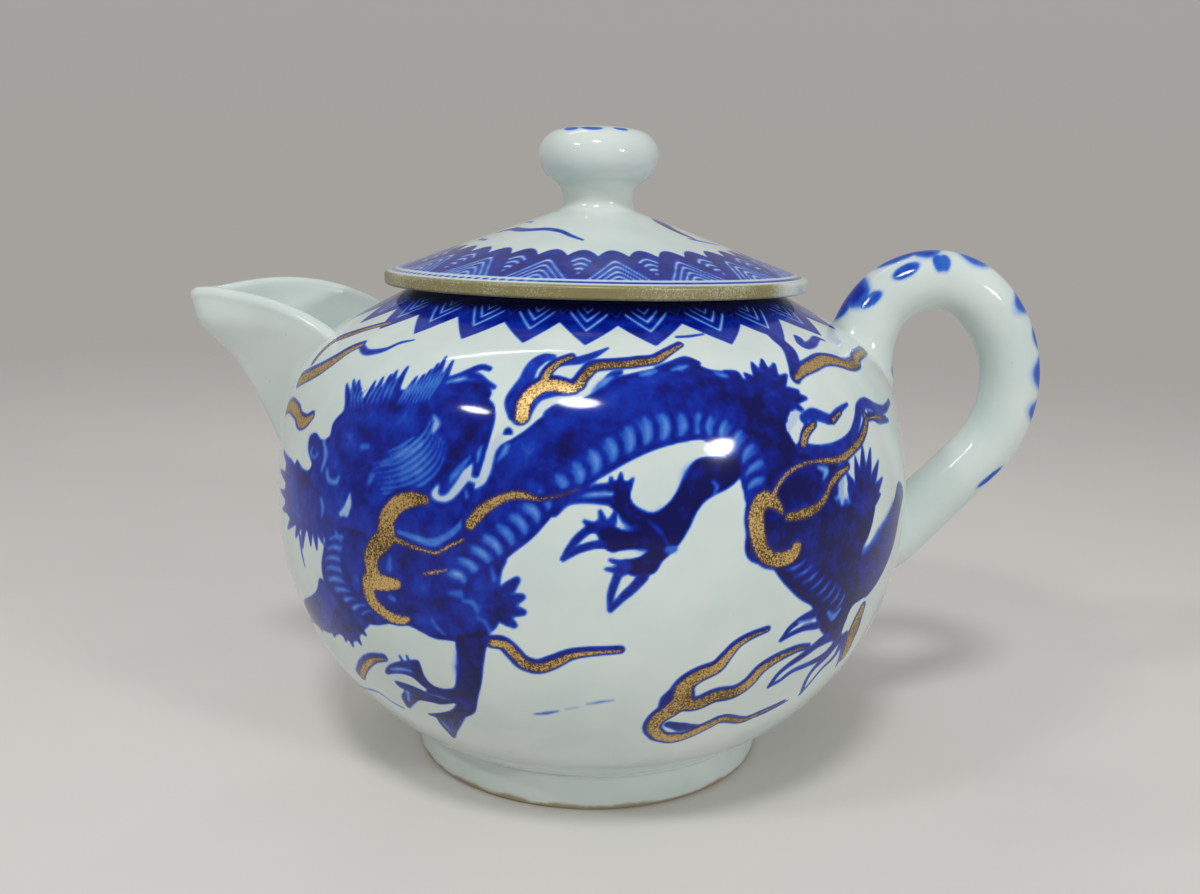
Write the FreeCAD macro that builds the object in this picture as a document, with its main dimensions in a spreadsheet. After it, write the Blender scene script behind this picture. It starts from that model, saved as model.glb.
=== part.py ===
"""Round porcelain teapot with a beak spout, a loop handle and a lift-off lid.

The origin is on the pot's axis, in the plane that the foot ring stands on.
+Z is up, the spout points along -X and the handle along +X.
Lengths are in millimetres and angles in degrees.
"""
import FreeCAD, Part
import math
import os
import Sketcher
from FreeCAD import Placement, Rotation, Vector

# Driving dimensions
SIZES = {
    # Bowl: three tangent arcs and a straight shoulder, seen from the side
    "belly_radius": 60.0,
    "belly_height": 51.3,
    "upper_radius": 66.0,
    "upper_angle": 18.0,
    "shoulder_radius": 21.0,
    "shoulder_angle": 62.0,
    "bowl_wall": 4.0,
    "floor_thickness": 5.0,
    # Strainer holes through the bowl behind the spout
    "strainer_rise": 22.0,
    "strainer_ring": 5.2,
    "strainer_hole": 1.7,
    "strainer_count": 6,
    # Foot ring
    "foot_outer": 34.2,
    "foot_inner": 29.8,
    "foot_rise": 4.41,
    "foot_round": 0.9,
    # Mouth rim, the seat that carries the lid
    "mouth_outer": 35.0,
    "mouth_inner": 31.2,
    "rim_rise": 0.6,
    "rim_chamfer": 1.0,
    "rim_round": 0.8,
    # Spout: three level sections from low to high, then cut by the rim arc
    "spout_low_rise": 0.7,
    "spout_low_reach": -0.8,
    "spout_low_angle": 38.0,
    "spout_mid_rise": 20.7,
    "spout_mid_reach": 7.5,
    "spout_mid_angle": 32.0,
    "spout_high_rise": 40.7,
    "spout_high_reach": 21.2,
    "spout_high_angle": 26.5,
    "spout_nose": 5.0,
    "spout_wall": 3.2,
    "spout_back": 30.0,
    "spout_crest_reach": 6.0,
    "spout_crest_rise": 37.6,
    "spout_rim_radius": 35.5,
    "spout_rim_half": 26.5,
    "spout_rim_tilt": -5.5,
    # Handle: root, top arc, side arc, straight and end arc along its centre line
    "handle_reach": 4.6,
    "handle_rise": 28.4,
    "handle_root_length": 14.0,
    "handle_root_angle": 160.0,
    "handle_top_radius": 13.5,
    "handle_side_angle": 44.0,
    "handle_side_radius": 22.5,
    "handle_end_angle": -42.5,
    "handle_straight": 21.0,
    "handle_end_radius": 12.0,
    "handle_thickness": 11.1,
    # Lid cover
    "lid_gap": 0.1,
    "lid_radius": 39.85,
    "lid_edge": 2.5,
    "lid_edge_round": 1.1,
    "lid_angle": 20.0,
    "lid_wall": 4.0,
    # Lid flange, the collar that drops into the mouth
    "flange_clearance": 0.8,
    "flange_wall": 3.0,
    "flange_depth": 8.0,
    "flange_round": 0.9,
    # Lid knob
    "knob_radius": 11.3,
    "knob_side_radius": 4.9,
    "knob_neck_radius": 3.4,
    "knob_neck_height": 1.7,
    "knob_lower_angle": 64.0,
    "knob_upper_angle": 68.0,
    "knob_ledge": 0.5,
}


class Size:
    """A number together with the sheet expression that works it out."""

    def __init__(self, value, text):
        self.value = value
        self.text = text

    def __add__(self, other):
        other = sized(other)
        return Size(self.value + other.value, f"({self.text} + {other.text})")

    def __sub__(self, other):
        other = sized(other)
        return Size(self.value - other.value, f"({self.text} - {other.text})")

    def __mul__(self, other):
        other = sized(other)
        return Size(self.value * other.value, f"({self.text} * {other.text})")

    def __truediv__(self, other):
        other = sized(other)
        return Size(self.value / other.value, f"({self.text} / {other.text})")

    def __neg__(self):
        return Size(-self.value, f"(0 - {self.text})")


def sized(number):
    """Return a Size for a plain number, and a Size as it is."""
    if isinstance(number, Size):
        return number
    return Size(float(number), str(number))


def cell(name):
    """Return the Size that a cell of the sheet holds."""
    return Size(float(SIZES[name]), f"Sizes.{name}")


def sine(angle):
    return Size(math.sin(math.radians(angle.value)), f"sin({angle.text})")


def cosine(angle):
    return Size(math.cos(math.radians(angle.value)), f"cos({angle.text})")


def tangent(angle):
    return Size(math.tan(math.radians(angle.value)), f"tan({angle.text})")


def side_of(long_side, short_side):
    """Return the third side of a right triangle from its longest side and one other."""
    square = long_side * long_side - short_side * short_side
    return Size(math.sqrt(square.value), f"sqrt({square.text})")


def turned(centre, radius, angle):
    """Return the point on a circle at an angle from its +X direction."""
    return (centre[0] + radius * cosine(angle), centre[1] + radius * sine(angle))


ZERO = sized(0)


class Line:
    """A straight step of an outline to the point `end`."""

    def __init__(self, end):
        self.end = end


class Arc:
    """A round step of an outline to the point `end`; `left` turns counter-clockwise."""

    def __init__(self, end, centre, radius, left=True):
        self.end = end
        self.centre = centre
        self.radius = radius
        self.left = left


def new_sketch(body, name, plane, offset=(ZERO, ZERO, ZERO), axis=None, angle=ZERO):
    """Add a sketch on one of the body's own origin planes, moved and turned from it."""
    sketch = body.newObject("Sketcher::SketchObject", name)
    support = [item for item in body.Origin.OriginFeatures if item.Role == plane][0]
    sketch.AttachmentSupport = [(support, "")]
    sketch.MapMode = "FlatFace"
    base = Vector(*[length.value for length in offset])
    turn = Rotation(axis, angle.value) if axis else Rotation()
    sketch.AttachmentOffset = Placement(base, turn)
    for letter, length in zip("xyz", offset):
        if length is not ZERO:
            sketch.setExpression(f"AttachmentOffset.Base.{letter}", length.text)
    if axis:
        sketch.setExpression("AttachmentOffset.Rotation.Angle", angle.text)
    return sketch


def bind(sketch, kind, size, *places):
    """Add a dimension to the sketch and tie it to the sheet."""
    index = sketch.addConstraint(Sketcher.Constraint(kind, *places, size.value))
    sketch.setExpression(f"Constraints[{index}]", size.text)


def bind_point(sketch, item, spot, point):
    """Tie both coordinates of a sketch point to the sheet."""
    for kind, axis_line, size in (("DistanceX", -2, point[0]), ("DistanceY", -1, point[1])):
        if size is ZERO:
            sketch.addConstraint(Sketcher.Constraint("PointOnObject", item, spot, axis_line))
        else:
            bind(sketch, kind, size, item, spot)


def flat(point):
    """Return a sketch point as a vector."""
    return Vector(point[0].value, point[1].value, 0)


def draw(sketch, start, steps, closed=True):
    """Draw lines and arcs from `start` and tie every corner and radius to the sheet."""
    ends = []
    here = start
    for step in steps:
        first, last = flat(here), flat(step.end)
        if isinstance(step, Line):
            item = sketch.addGeometry(Part.LineSegment(first, last))
            spots = (1, 2)
        else:
            middle = flat(step.centre)
            circle = Part.Circle(middle, Vector(0, 0, 1), step.radius.value)
            low, high = (first, last) if step.left else (last, first)
            angles = [math.atan2(point.y - middle.y, point.x - middle.x) for point in (low, high)]
            item = sketch.addGeometry(Part.ArcOfCircle(circle, *angles))
            spots = (1, 2) if step.left else (2, 1)
        ends.append((item, *spots))
        here = step.end
    for before, after in zip(ends, ends[1:] + ends[:1]):
        if closed or after is not ends[0]:
            places = (before[0], before[2], after[0], after[1])
            sketch.addConstraint(Sketcher.Constraint("Coincident", *places))
    corners = [start] + [step.end for step in steps]
    for (item, first_spot, last_spot), corner, step in zip(ends, corners, steps):
        bind_point(sketch, item, first_spot, corner)
        if isinstance(step, Arc):
            bind(sketch, "Radius", step.radius, item)
    if not closed:
        bind_point(sketch, item, last_spot, corners[-1])


def draw_circle(sketch, centre, radius):
    """Draw one circle and tie its centre and radius to the sheet."""
    item = sketch.addGeometry(Part.Circle(flat(centre), Vector(0, 0, 1), radius.value))
    bind_point(sketch, item, 3, centre)
    bind(sketch, "Radius", radius, item)


def new_body(document, label):
    """Add an empty body at the origin."""
    body = document.addObject("PartDesign::Body", label)
    body.Label = label
    body.Placement = Placement()
    return body


def spin(body, sketch, kind="Revolution"):
    """Turn a side-view sketch once round the pot's axis, adding or cutting."""
    feature = body.newObject(f"PartDesign::{kind}", f"{body.Name}_{kind}")
    feature.Profile = sketch
    feature.ReferenceAxis = (sketch, ["V_Axis"])
    feature.Angle = 360.0


# Shared places on the bowl
BELLY = (cell("belly_radius"), cell("belly_height"))
FLOOR = cell("foot_rise")
FLOOR_REACH = BELLY[0] - cell("foot_inner")
FLOOR_DROP = BELLY[1] - FLOOR
LOWER_RADIUS = (FLOOR_REACH * FLOOR_REACH + FLOOR_DROP * FLOOR_DROP) / (FLOOR_REACH * sized(2))
LOWER_CENTRE = (BELLY[0] - LOWER_RADIUS, BELLY[1])
UPPER_CENTRE = (BELLY[0] - cell("upper_radius"), BELLY[1])
SHOULDER_CENTRE = turned(UPPER_CENTRE, cell("upper_radius") - cell("shoulder_radius"), cell("upper_angle"))
TOP_SLOPE = tangent(sized(90) - cell("shoulder_angle"))


def lower_height(radius):
    """Return the height of the bowl's outer lower arc at a radius."""
    return BELLY[1] - side_of(LOWER_RADIUS, radius - LOWER_CENTRE[0])


def lower_radius(height, inset):
    """Return the radius of the bowl's lower arc at a height, inset from the outer surface."""
    return LOWER_CENTRE[0] + side_of(LOWER_RADIUS - inset, BELLY[1] - height)


def shoulder_end(inset=ZERO):
    """Return the point where the shoulder arc runs into the straight top."""
    return turned(SHOULDER_CENTRE, cell("shoulder_radius") - inset, cell("shoulder_angle"))


def top_height(radius, inset=ZERO):
    """Return the height of the straight top of the bowl at a radius."""
    end = shoulder_end(inset)
    return end[1] + (end[0] - radius) * TOP_SLOPE


SEAT = top_height(cell("mouth_outer")) + cell("rim_rise")
LID_BASE = SEAT + cell("lid_gap")
FLANGE_OUTER = cell("mouth_inner") - cell("flange_clearance")
FLANGE_INNER = FLANGE_OUTER - cell("flange_wall")


# Shared places on the lid
LID_CORNER = (
    cell("lid_radius") - cell("lid_edge_round"),
    LID_BASE + cell("lid_edge") - cell("lid_edge_round"),
)
LID_BROW = turned(LID_CORNER, cell("lid_edge_round"), sized(90) - cell("lid_angle"))
LID_SLOPE = tangent(cell("lid_angle"))
KNOB_REACH = cell("knob_side_radius") + cell("knob_neck_radius")
KNOB_NECK = cell("knob_radius") - KNOB_REACH + KNOB_REACH * cosine(cell("knob_lower_angle"))
KNOB_SEAT = KNOB_NECK + cell("knob_ledge")
LID_TOP = LID_BROW[1] + (LID_BROW[0] - KNOB_SEAT) * LID_SLOPE


def lower_steps(inset=ZERO):
    """Return the step up the lower arc to the belly, inset from the outer surface."""
    return [Arc((BELLY[0] - inset, BELLY[1]), LOWER_CENTRE, LOWER_RADIUS - inset)]


def upper_steps(inset=ZERO):
    """Return the steps from the belly up to the mouth, inset from the outer surface."""
    upper = cell("upper_radius") - inset
    shoulder = cell("shoulder_radius") - inset
    mouth = (cell("mouth_outer"), top_height(cell("mouth_outer"), inset))
    return [
        Arc(turned(UPPER_CENTRE, upper, cell("upper_angle")), UPPER_CENTRE, upper),
        Arc(shoulder_end(inset), SHOULDER_CENTRE, shoulder),
        Line(mouth),
    ]


def reverse(start, steps):
    """Return the same outline walked from its end back to its start."""
    corners = [start] + [step.end for step in steps]
    back = []
    for step, corner in zip(reversed(steps), reversed(corners[:-1])):
        if isinstance(step, Line):
            back.append(Line(corner))
        else:
            back.append(Arc(corner, step.centre, step.radius, left=not step.left))
    return corners[-1], back


def cut_by_bowl(body):
    """Cut a piece back to the bowl's outer surface, so that it seats on it."""
    sketch = new_sketch(body, f"{body.Name}_seat", "XZ_Plane")
    steps = [Line((cell("foot_inner"), FLOOR)), *lower_steps(), *upper_steps()]
    top = steps[-1].end[1]
    draw(sketch, (ZERO, FLOOR), steps + [Line((ZERO, top)), Line((ZERO, FLOOR))])
    spin(body, sketch, "Groove")


def make_lower_bowl(document):
    """Lower half of the bowl's wall, with a flat floor."""
    body = new_body(document, "lower_bowl")
    wall = cell("bowl_wall")
    inner_floor = FLOOR + cell("floor_thickness")
    inner_start = (lower_radius(inner_floor, wall), inner_floor)
    inner_belly, inner_steps = reverse(inner_start, lower_steps(wall))
    steps = [Line((cell("foot_inner"), FLOOR)), *lower_steps(), Line(inner_belly), *inner_steps]
    steps += [Line((ZERO, inner_floor)), Line((ZERO, FLOOR))]
    outline = new_sketch(body, "lower_wall_outline", "XZ_Plane")
    draw(outline, (ZERO, FLOOR), steps)
    spin(body, outline)
    return body


def make_upper_bowl(document):
    """Upper half of the bowl's wall, up to the mouth, with strainer holes towards the spout."""
    body = new_body(document, "upper_bowl")
    wall = cell("bowl_wall")
    inner_belly = (BELLY[0] - wall, BELLY[1])
    inner_mouth, inner_steps = reverse(inner_belly, upper_steps(wall))
    steps = [*upper_steps(), Line(inner_mouth), *inner_steps, Line(BELLY)]
    outline = new_sketch(body, "upper_wall_outline", "XZ_Plane")
    draw(outline, BELLY, steps)
    spin(body, outline)
    height = BELLY[1] + cell("strainer_rise")
    for name, ring in (("strainer_middle", ZERO), ("strainer_side", cell("strainer_ring"))):
        sketch = new_sketch(body, name, "YZ_Plane", (ZERO, height, ZERO))
        draw_circle(sketch, (ring, ZERO), cell("strainer_hole"))
        hole = body.newObject("PartDesign::Pocket", f"{name}_hole")
        hole.Profile = sketch
        hole.setExpression("Length", BELLY[0].text)
    pattern = body.newObject("PartDesign::PolarPattern", "strainer_pattern")
    pattern.Originals = [hole]
    pattern.Axis = (sketch, ["N_Axis"])
    pattern.Angle = 360.0
    pattern.setExpression("Occurrences", cell("strainer_count").text)
    body.Tip = pattern
    return body


def make_foot_ring(document):
    """Upright ring under the bowl, with rounded edges where it stands."""
    body = new_body(document, "foot_ring")
    outer, inner, round_edge = cell("foot_outer"), cell("foot_inner"), cell("foot_round")
    steps = [
        Arc((outer, lower_height(outer)), LOWER_CENTRE, LOWER_RADIUS),
        Line((outer, round_edge)),
        Arc((outer - round_edge, ZERO), (outer - round_edge, round_edge), round_edge, left=False),
        Line((inner + round_edge, ZERO)),
        Arc((inner, round_edge), (inner + round_edge, round_edge), round_edge, left=False),
        Line((inner, FLOOR)),
    ]
    outline = new_sketch(body, "foot_outline", "XZ_Plane")
    draw(outline, (inner, FLOOR), steps)
    spin(body, outline)
    return body


def make_mouth_rim(document):
    """Ring round the mouth with a flat seat for the lid."""
    body = new_body(document, "mouth_rim")
    outer, inner, round_edge = cell("mouth_outer"), cell("mouth_inner"), cell("rim_round")
    wall = cell("bowl_wall")
    start = (outer, top_height(outer, wall))
    steps = [
        Line((outer, top_height(outer))),
        Line((outer - cell("rim_chamfer"), SEAT)),
        Line((inner + round_edge, SEAT)),
        Arc((inner, SEAT - round_edge), (inner + round_edge, SEAT - round_edge), round_edge),
        Line((inner, top_height(inner, wall))),
        Line(start),
    ]
    outline = new_sketch(body, "mouth_outline", "XZ_Plane")
    draw(outline, start, steps)
    spin(body, outline)
    return body


def spout_section(body, name, level, inset):
    """Draw one level section of the spout: a rounded nose with two flaring sides."""
    rise, reach, angle = [cell(f"spout_{level}_{part}") for part in ("rise", "reach", "angle")]
    sketch = new_sketch(body, f"{name}_{level}", "XY_Plane", (ZERO, ZERO, BELLY[1] + rise))
    centre = (BELLY[0] + reach - cell("spout_nose"), ZERO)
    radius = cell("spout_nose") - inset
    touch = (centre[0] + radius * sine(angle), radius * cosine(angle))
    back = BELLY[0] - cell("spout_back")
    spread = touch[1] + (touch[0] - back) * tangent(angle)
    start = (touch[0], -touch[1])
    steps = [Arc(touch, centre, radius), Line((back, spread)), Line((back, -spread)), Line(start)]
    draw(sketch, start, steps)
    return sketch


def make_spout(document):
    """Open beak with a blunt tip and an arched rim, seated on the bowl."""
    body = new_body(document, "spout")
    for kind, inset in (("Additive", ZERO), ("Subtractive", cell("spout_wall"))):
        levels = [spout_section(body, kind.lower(), level, inset) for level in ("low", "mid", "high")]
        loft = body.newObject(f"PartDesign::{kind}Loft", f"spout_{kind.lower()}")
        loft.Profile = levels[0]
        loft.Sections = levels[1:]
    crest = (BELLY[0] + cell("spout_crest_reach"), BELLY[1] + cell("spout_crest_rise"))
    sketch = new_sketch(
        body,
        "spout_rim",
        "XZ_Plane",
        (ZERO, crest[1], ZERO),
        Vector(1, 0, 0),
        cell("spout_rim_tilt"),
    )
    arc = cell("spout_rim_radius")
    half = cell("spout_rim_half")
    drop = arc - side_of(arc, half)
    tip, root = (crest[0] + half, -drop), (crest[0] - half, -drop)
    steps = [
        Arc(root, (crest[0], -arc), arc),
        Line((ZERO, -drop)),
        Line((ZERO, arc)),
        Line((tip[0], arc)),
        Line(tip),
    ]
    draw(sketch, tip, steps)
    rim = body.newObject("PartDesign::Pocket", "spout_rim_cut")
    rim.Profile = sketch
    rim.Type = "ThroughAll"
    rim.Midplane = True
    cut_by_bowl(body)
    body.Placement = Placement(Vector(), Rotation(Vector(0, 0, 1), 180))
    return body


def make_handle(document):
    """Round loop handle whose two ends are cut back to the bowl."""
    body = new_body(document, "handle")
    centre = (BELLY[0] + cell("handle_reach"), BELLY[1] + cell("handle_rise"))
    root_turn, side_turn, end_turn = [cell(f"handle_{part}_angle") for part in ("root", "side", "end")]
    top_arc, side_arc, end_arc = [cell(f"handle_{part}_radius") for part in ("top", "side", "end")]
    root = turned(centre, top_arc, root_turn)
    length = cell("handle_root_length")
    start = (root[0] - length * sine(root_turn), root[1] + length * cosine(root_turn))
    side_centre = turned(centre, top_arc - side_arc, side_turn)
    side_end = turned(side_centre, side_arc, end_turn)
    straight = cell("handle_straight")
    end = (side_end[0] + straight * sine(end_turn), side_end[1] - straight * cosine(end_turn))
    end_centre = (end[0] - end_arc * cosine(end_turn), end[1] - end_arc * sine(end_turn))
    steps = [
        Line(root),
        Arc(turned(centre, top_arc, side_turn), centre, top_arc, left=False),
        Arc(side_end, side_centre, side_arc, left=False),
        Line(end),
        Arc((end_centre[0], end_centre[1] - end_arc), end_centre, end_arc, left=False),
    ]
    path = new_sketch(body, "handle_path", "XZ_Plane")
    draw(path, start, steps, closed=False)
    section = new_sketch(
        body,
        "handle_section",
        "XY_Plane",
        (start[0], ZERO, start[1]),
        Vector(0, 1, 0),
        sized(180) - root_turn,
    )
    draw_circle(section, (ZERO, ZERO), cell("handle_thickness") / sized(2))
    pipe = body.newObject("PartDesign::AdditivePipe", "handle_pipe")
    pipe.Profile = section
    pipe.Spine = path
    cut_by_bowl(body)
    return body


def make_lid_cover(document):
    """Low cone with a thick edge, hollow underneath and flat where the knob stands."""
    body = new_body(document, "lid_cover")
    radius, round_edge = cell("lid_radius"), cell("lid_edge_round")
    depth = cell("lid_wall") / cosine(cell("lid_angle"))
    start = (FLANGE_INNER, LID_BASE)
    low_corner = (LID_CORNER[0], LID_BASE + round_edge)
    under = LID_BROW[1] + (LID_BROW[0] - FLANGE_INNER) * LID_SLOPE - depth
    steps = [
        Line((LID_CORNER[0], LID_BASE)),
        Arc((radius, low_corner[1]), low_corner, round_edge),
        Line((radius, LID_CORNER[1])),
        Arc(LID_BROW, LID_CORNER, round_edge),
        Line((KNOB_SEAT, LID_TOP)),
        Line((ZERO, LID_TOP)),
        Line((ZERO, LID_TOP - depth)),
        Line((KNOB_SEAT, LID_TOP - depth)),
        Line((FLANGE_INNER, under)),
        Line(start),
    ]
    outline = new_sketch(body, "lid_outline", "XZ_Plane")
    draw(outline, start, steps)
    spin(body, outline)
    return body


def make_lid_flange(document):
    """Collar under the lid that keeps it centred in the mouth."""
    body = new_body(document, "lid_flange")
    low, round_edge = LID_BASE - cell("flange_depth"), cell("flange_round")
    start = (FLANGE_OUTER, LID_BASE)
    steps = [
        Line((FLANGE_INNER, LID_BASE)),
        Line((FLANGE_INNER, low + round_edge)),
        Arc((FLANGE_INNER + round_edge, low), (FLANGE_INNER + round_edge, low + round_edge), round_edge),
        Line((FLANGE_OUTER - round_edge, low)),
        Arc((FLANGE_OUTER, low + round_edge), (FLANGE_OUTER - round_edge, low + round_edge), round_edge),
        Line(start),
    ]
    outline = new_sketch(body, "flange_outline", "XZ_Plane")
    draw(outline, start, steps)
    spin(body, outline)
    return body


def make_lid_knob(document):
    """Mushroom knob on a short neck."""
    body = new_body(document, "lid_knob")
    side_arc, neck_arc = cell("knob_side_radius"), cell("knob_neck_radius")
    lower, upper = cell("knob_lower_angle"), cell("knob_upper_angle")
    neck_top = LID_TOP + cell("knob_neck_height")
    centre = (cell("knob_radius") - side_arc, neck_top + (side_arc + neck_arc) * sine(lower))
    low_side = turned(centre, side_arc, -lower)
    high_side = turned(centre, side_arc, upper)
    crown_centre = (ZERO, centre[1] - centre[0] * tangent(upper))
    crown = side_arc + centre[0] / cosine(upper)
    start = (ZERO, LID_TOP)
    steps = [
        Line((KNOB_NECK, LID_TOP)),
        Line((KNOB_NECK, neck_top)),
        Arc(low_side, (KNOB_NECK + neck_arc, neck_top), neck_arc, left=False),
        Arc(high_side, centre, side_arc),
        Arc((ZERO, crown_centre[1] + crown), crown_centre, crown),
        Line(start),
    ]
    outline = new_sketch(body, "knob_outline", "XZ_Plane")
    draw(outline, start, steps)
    spin(body, outline)
    return body


def make_sheet(document):
    """Write the driving dimensions into a sheet, one alias for each."""
    sheet = document.addObject("Spreadsheet::Sheet", "Sizes")
    for row, (name, value) in enumerate(SIZES.items(), start=1):
        sheet.set(f"A{row}", name)
        sheet.set(f"B{row}", str(value))
        sheet.setAlias(f"B{row}", name)
    document.recompute()


def check(document, bodies):
    """Raise an error if any object failed or any piece isn't one valid solid."""
    for item in document.Objects:
        if "Invalid" in item.State or "Error" in item.State:
            raise RuntimeError(f"{item.Name} failed: {item.State}")
    for body in bodies:
        shape = body.Shape
        if shape.isNull() or not shape.isValid() or len(shape.Solids) != 1:
            raise RuntimeError(f"{body.Label} isn't one valid solid")


def main():
    document = FreeCAD.newDocument("teapot")
    make_sheet(document)
    makers = [make_lower_bowl, make_upper_bowl, make_foot_ring, make_mouth_rim, make_spout]
    makers += [make_handle, make_lid_cover, make_lid_flange, make_lid_knob]
    bodies = [maker(document) for maker in makers]
    document.recompute()
    check(document, bodies)
    os.makedirs("parts", exist_ok=True)
    for body in bodies:
        body.Shape.exportStep(f"parts/{body.Label}.step")
        print(f"{body.Label}: {body.Shape.Volume:.1f} mm3")


main()
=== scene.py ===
"""Round porcelain teapot painted in blue under its glaze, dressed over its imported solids.

Every piece is in metres in the frame of the solids: +Z is up, the spout points
along -X and the handle along +X. The painting is laid on unrolled skins of the
bowl and the lid with a few brushes, at places read from the photograph, and
kept as paint layers on the points of the meshes, which the materials read.
"""
import math

import bmesh
import bpy
import numpy as np
from mathutils import Matrix, Quaternion, Vector


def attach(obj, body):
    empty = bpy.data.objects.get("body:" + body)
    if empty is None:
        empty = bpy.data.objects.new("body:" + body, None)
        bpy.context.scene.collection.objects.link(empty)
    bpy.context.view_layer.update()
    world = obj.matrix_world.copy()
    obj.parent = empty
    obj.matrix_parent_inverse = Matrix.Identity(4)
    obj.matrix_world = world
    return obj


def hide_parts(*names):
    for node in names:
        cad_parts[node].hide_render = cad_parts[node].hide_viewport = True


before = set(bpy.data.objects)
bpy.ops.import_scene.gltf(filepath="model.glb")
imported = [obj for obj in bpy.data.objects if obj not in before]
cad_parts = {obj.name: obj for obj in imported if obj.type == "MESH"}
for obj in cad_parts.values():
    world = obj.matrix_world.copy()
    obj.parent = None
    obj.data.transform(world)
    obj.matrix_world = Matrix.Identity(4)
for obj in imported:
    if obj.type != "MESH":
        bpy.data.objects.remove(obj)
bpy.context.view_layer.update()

bl_info = {
    "name": "Painted Porcelain Teapot",
    "version": (1, 0, 0),
    "blender": (4, 5, 0),
    "location": "View3D > Sidebar > Teapot",
    "description": "Builds a blue and gilt porcelain teapot on its packed solids",
    "category": "Add Mesh",
}

MM = 0.001
TURN = 2.0 * math.pi

# The photograph's frame in pixels, and the camera that was worked out from it
PHOTO_WIDTH = 1200
PHOTO_HEIGHT = 894
FOCAL_PIXELS = 1119.7
SENSOR_WIDTH = 36.0
CAMERA_PLACE = Vector((1.375, -216.17, 103.634)) * MM
CAMERA_PITCH = math.radians(11.6418)
CAMERA_ROLL = math.radians(1.2517)
POT_MIDDLE = (600.0, 480.0)

# Distances tried along a pixel's ray; a ray that misses is moved a little towards the pot's middle
RAY_REACHES = np.linspace(0.12, 0.33, 700)
RAY_TRIES = 60
RAY_NUDGE = 0.004

# How finely the painting is laid, how soft a brush edge is, and how far in paint pools along an edge
CELL = 0.32 * MM
EDGE = 0.55 * MM
POOL_REACH = 0.9 * MM

# Turned pieces are spun in wedges of a few steps each, and the painted lid in more of them
WEDGE_STEPS = 16
WEDGES = 12
LID_WEDGES = 40
SHARP_ANGLE = math.radians(40)

# Distances at which points are one, a number too small to divide by, and steps of a search by halves
MERGE = 1e-6
TINY = 1e-12
HALVINGS = 40

# A clear fired glaze: how much it bends light, and how rough it is
GLAZE_IOR = 1.38
GLAZE_ROUGHNESS = 0.09

# The studio: half the floor's width, and the lamps, each with the spot in millimetres at which the pot
# mirrors it, the direction from there, distance, size, lean in degrees and power
FLOOR_REACH = 3.0
LAMPS = (
    ("window_left", (-17, -53, 75), (-0.591, -0.479, 0.65), 0.9, (0.16, 0.06), 0.0, 1.3),
    ("window_top", (-2, -54, 77), (-0.066, -0.534, 0.843), 0.9, (0.19, 0.14), 0.0, 2.9),
    ("window_right", (19, -54, 71), (0.684, -0.651, 0.329), 0.9, (0.16, 0.08), 0.0, 2.1),
    ("strip_back", (-14, -46, 83), (-0.281, 0.372, 0.885), 1.0, (0.5, 0.02), -22.0, 0.6),
)


def length(name, description, millimetres):
    """Return a length property with its default in millimetres."""
    return bpy.props.FloatProperty(
        name=name, description=description, default=millimetres * MM, unit="LENGTH", precision=4
    )


def angle(name, description, degrees):
    """Return an angle property with its default in degrees."""
    return bpy.props.FloatProperty(
        name=name, description=description, default=math.radians(degrees), subtype="ANGLE"
    )


def linear(code):
    """Return an sRGB hex colour as a linear colour with alpha."""
    parts = [int(code[place:place + 2], 16) / 255.0 for place in (1, 3, 5)]
    curve = [part / 12.92 if part <= 0.04045 else ((part + 0.055) / 1.055) ** 2.4 for part in parts]
    return (*curve, 1.0)


def colour(name, description, code):
    """Return a colour property with its default as an sRGB hex value."""
    return bpy.props.FloatVectorProperty(
        name=name, description=description, default=linear(code), size=4, subtype="COLOR", min=0, max=1
    )


BACKDROP = linear("#a5a29e")
ZENITH = linear("#a8a8a8")
SPECK = linear("#8d8a7c")


class TeapotBowlSizes(bpy.types.PropertyGroup):
    """Sizes of the bowl, its foot and its mouth"""

    belly_radius: length("Belly radius", "Radius at the widest line", 60.0)
    belly_height: length("Belly height", "Height of the widest line", 51.3)
    upper_radius: length("Upper radius", "Radius of the arc above the belly", 66.0)
    upper_angle: angle("Upper angle", "Turn of the arc above the belly", 18.0)
    shoulder_radius: length("Shoulder radius", "Radius of the shoulder arc", 21.0)
    shoulder_angle: angle("Shoulder angle", "Direction at which the shoulder arc ends", 62.0)
    wall: length("Wall", "Thickness of the bowl's wall", 4.0)
    floor_rise: length("Foot rise", "Height of the bowl's floor over the table", 4.41)
    floor_thickness: length("Floor", "Thickness of the bowl's floor", 5.0)
    foot_outer: length("Foot outer", "Outer radius of the foot ring", 34.2)
    foot_inner: length("Foot inner", "Inner radius of the foot ring", 29.8)
    foot_round: length("Foot round", "Rounding of the foot's lower edges", 0.9)
    mouth_outer: length("Mouth outer", "Radius where the wall ends at the mouth", 35.0)
    mouth_inner: length("Mouth inner", "Inner radius of the mouth rim", 31.2)
    rim_rise: length("Rim rise", "Height of the mouth rim over the wall", 0.6)
    rim_chamfer: length("Rim chamfer", "Width of the slope up to the rim", 1.0)
    rim_round: length("Rim round", "Rounding of the rim's inner edge", 0.8)
    strainer_height: length("Strainer height", "Height of the middle strainer hole", 73.3)
    strainer_ring: length("Strainer ring", "Distance of the side holes from the middle one", 5.2)
    strainer_hole: length("Strainer hole", "Radius of a strainer hole", 1.7)
    strainer_count: bpy.props.IntProperty(
        name="Strainer count", description="Holes round the middle one", default=6, min=3
    )


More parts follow.
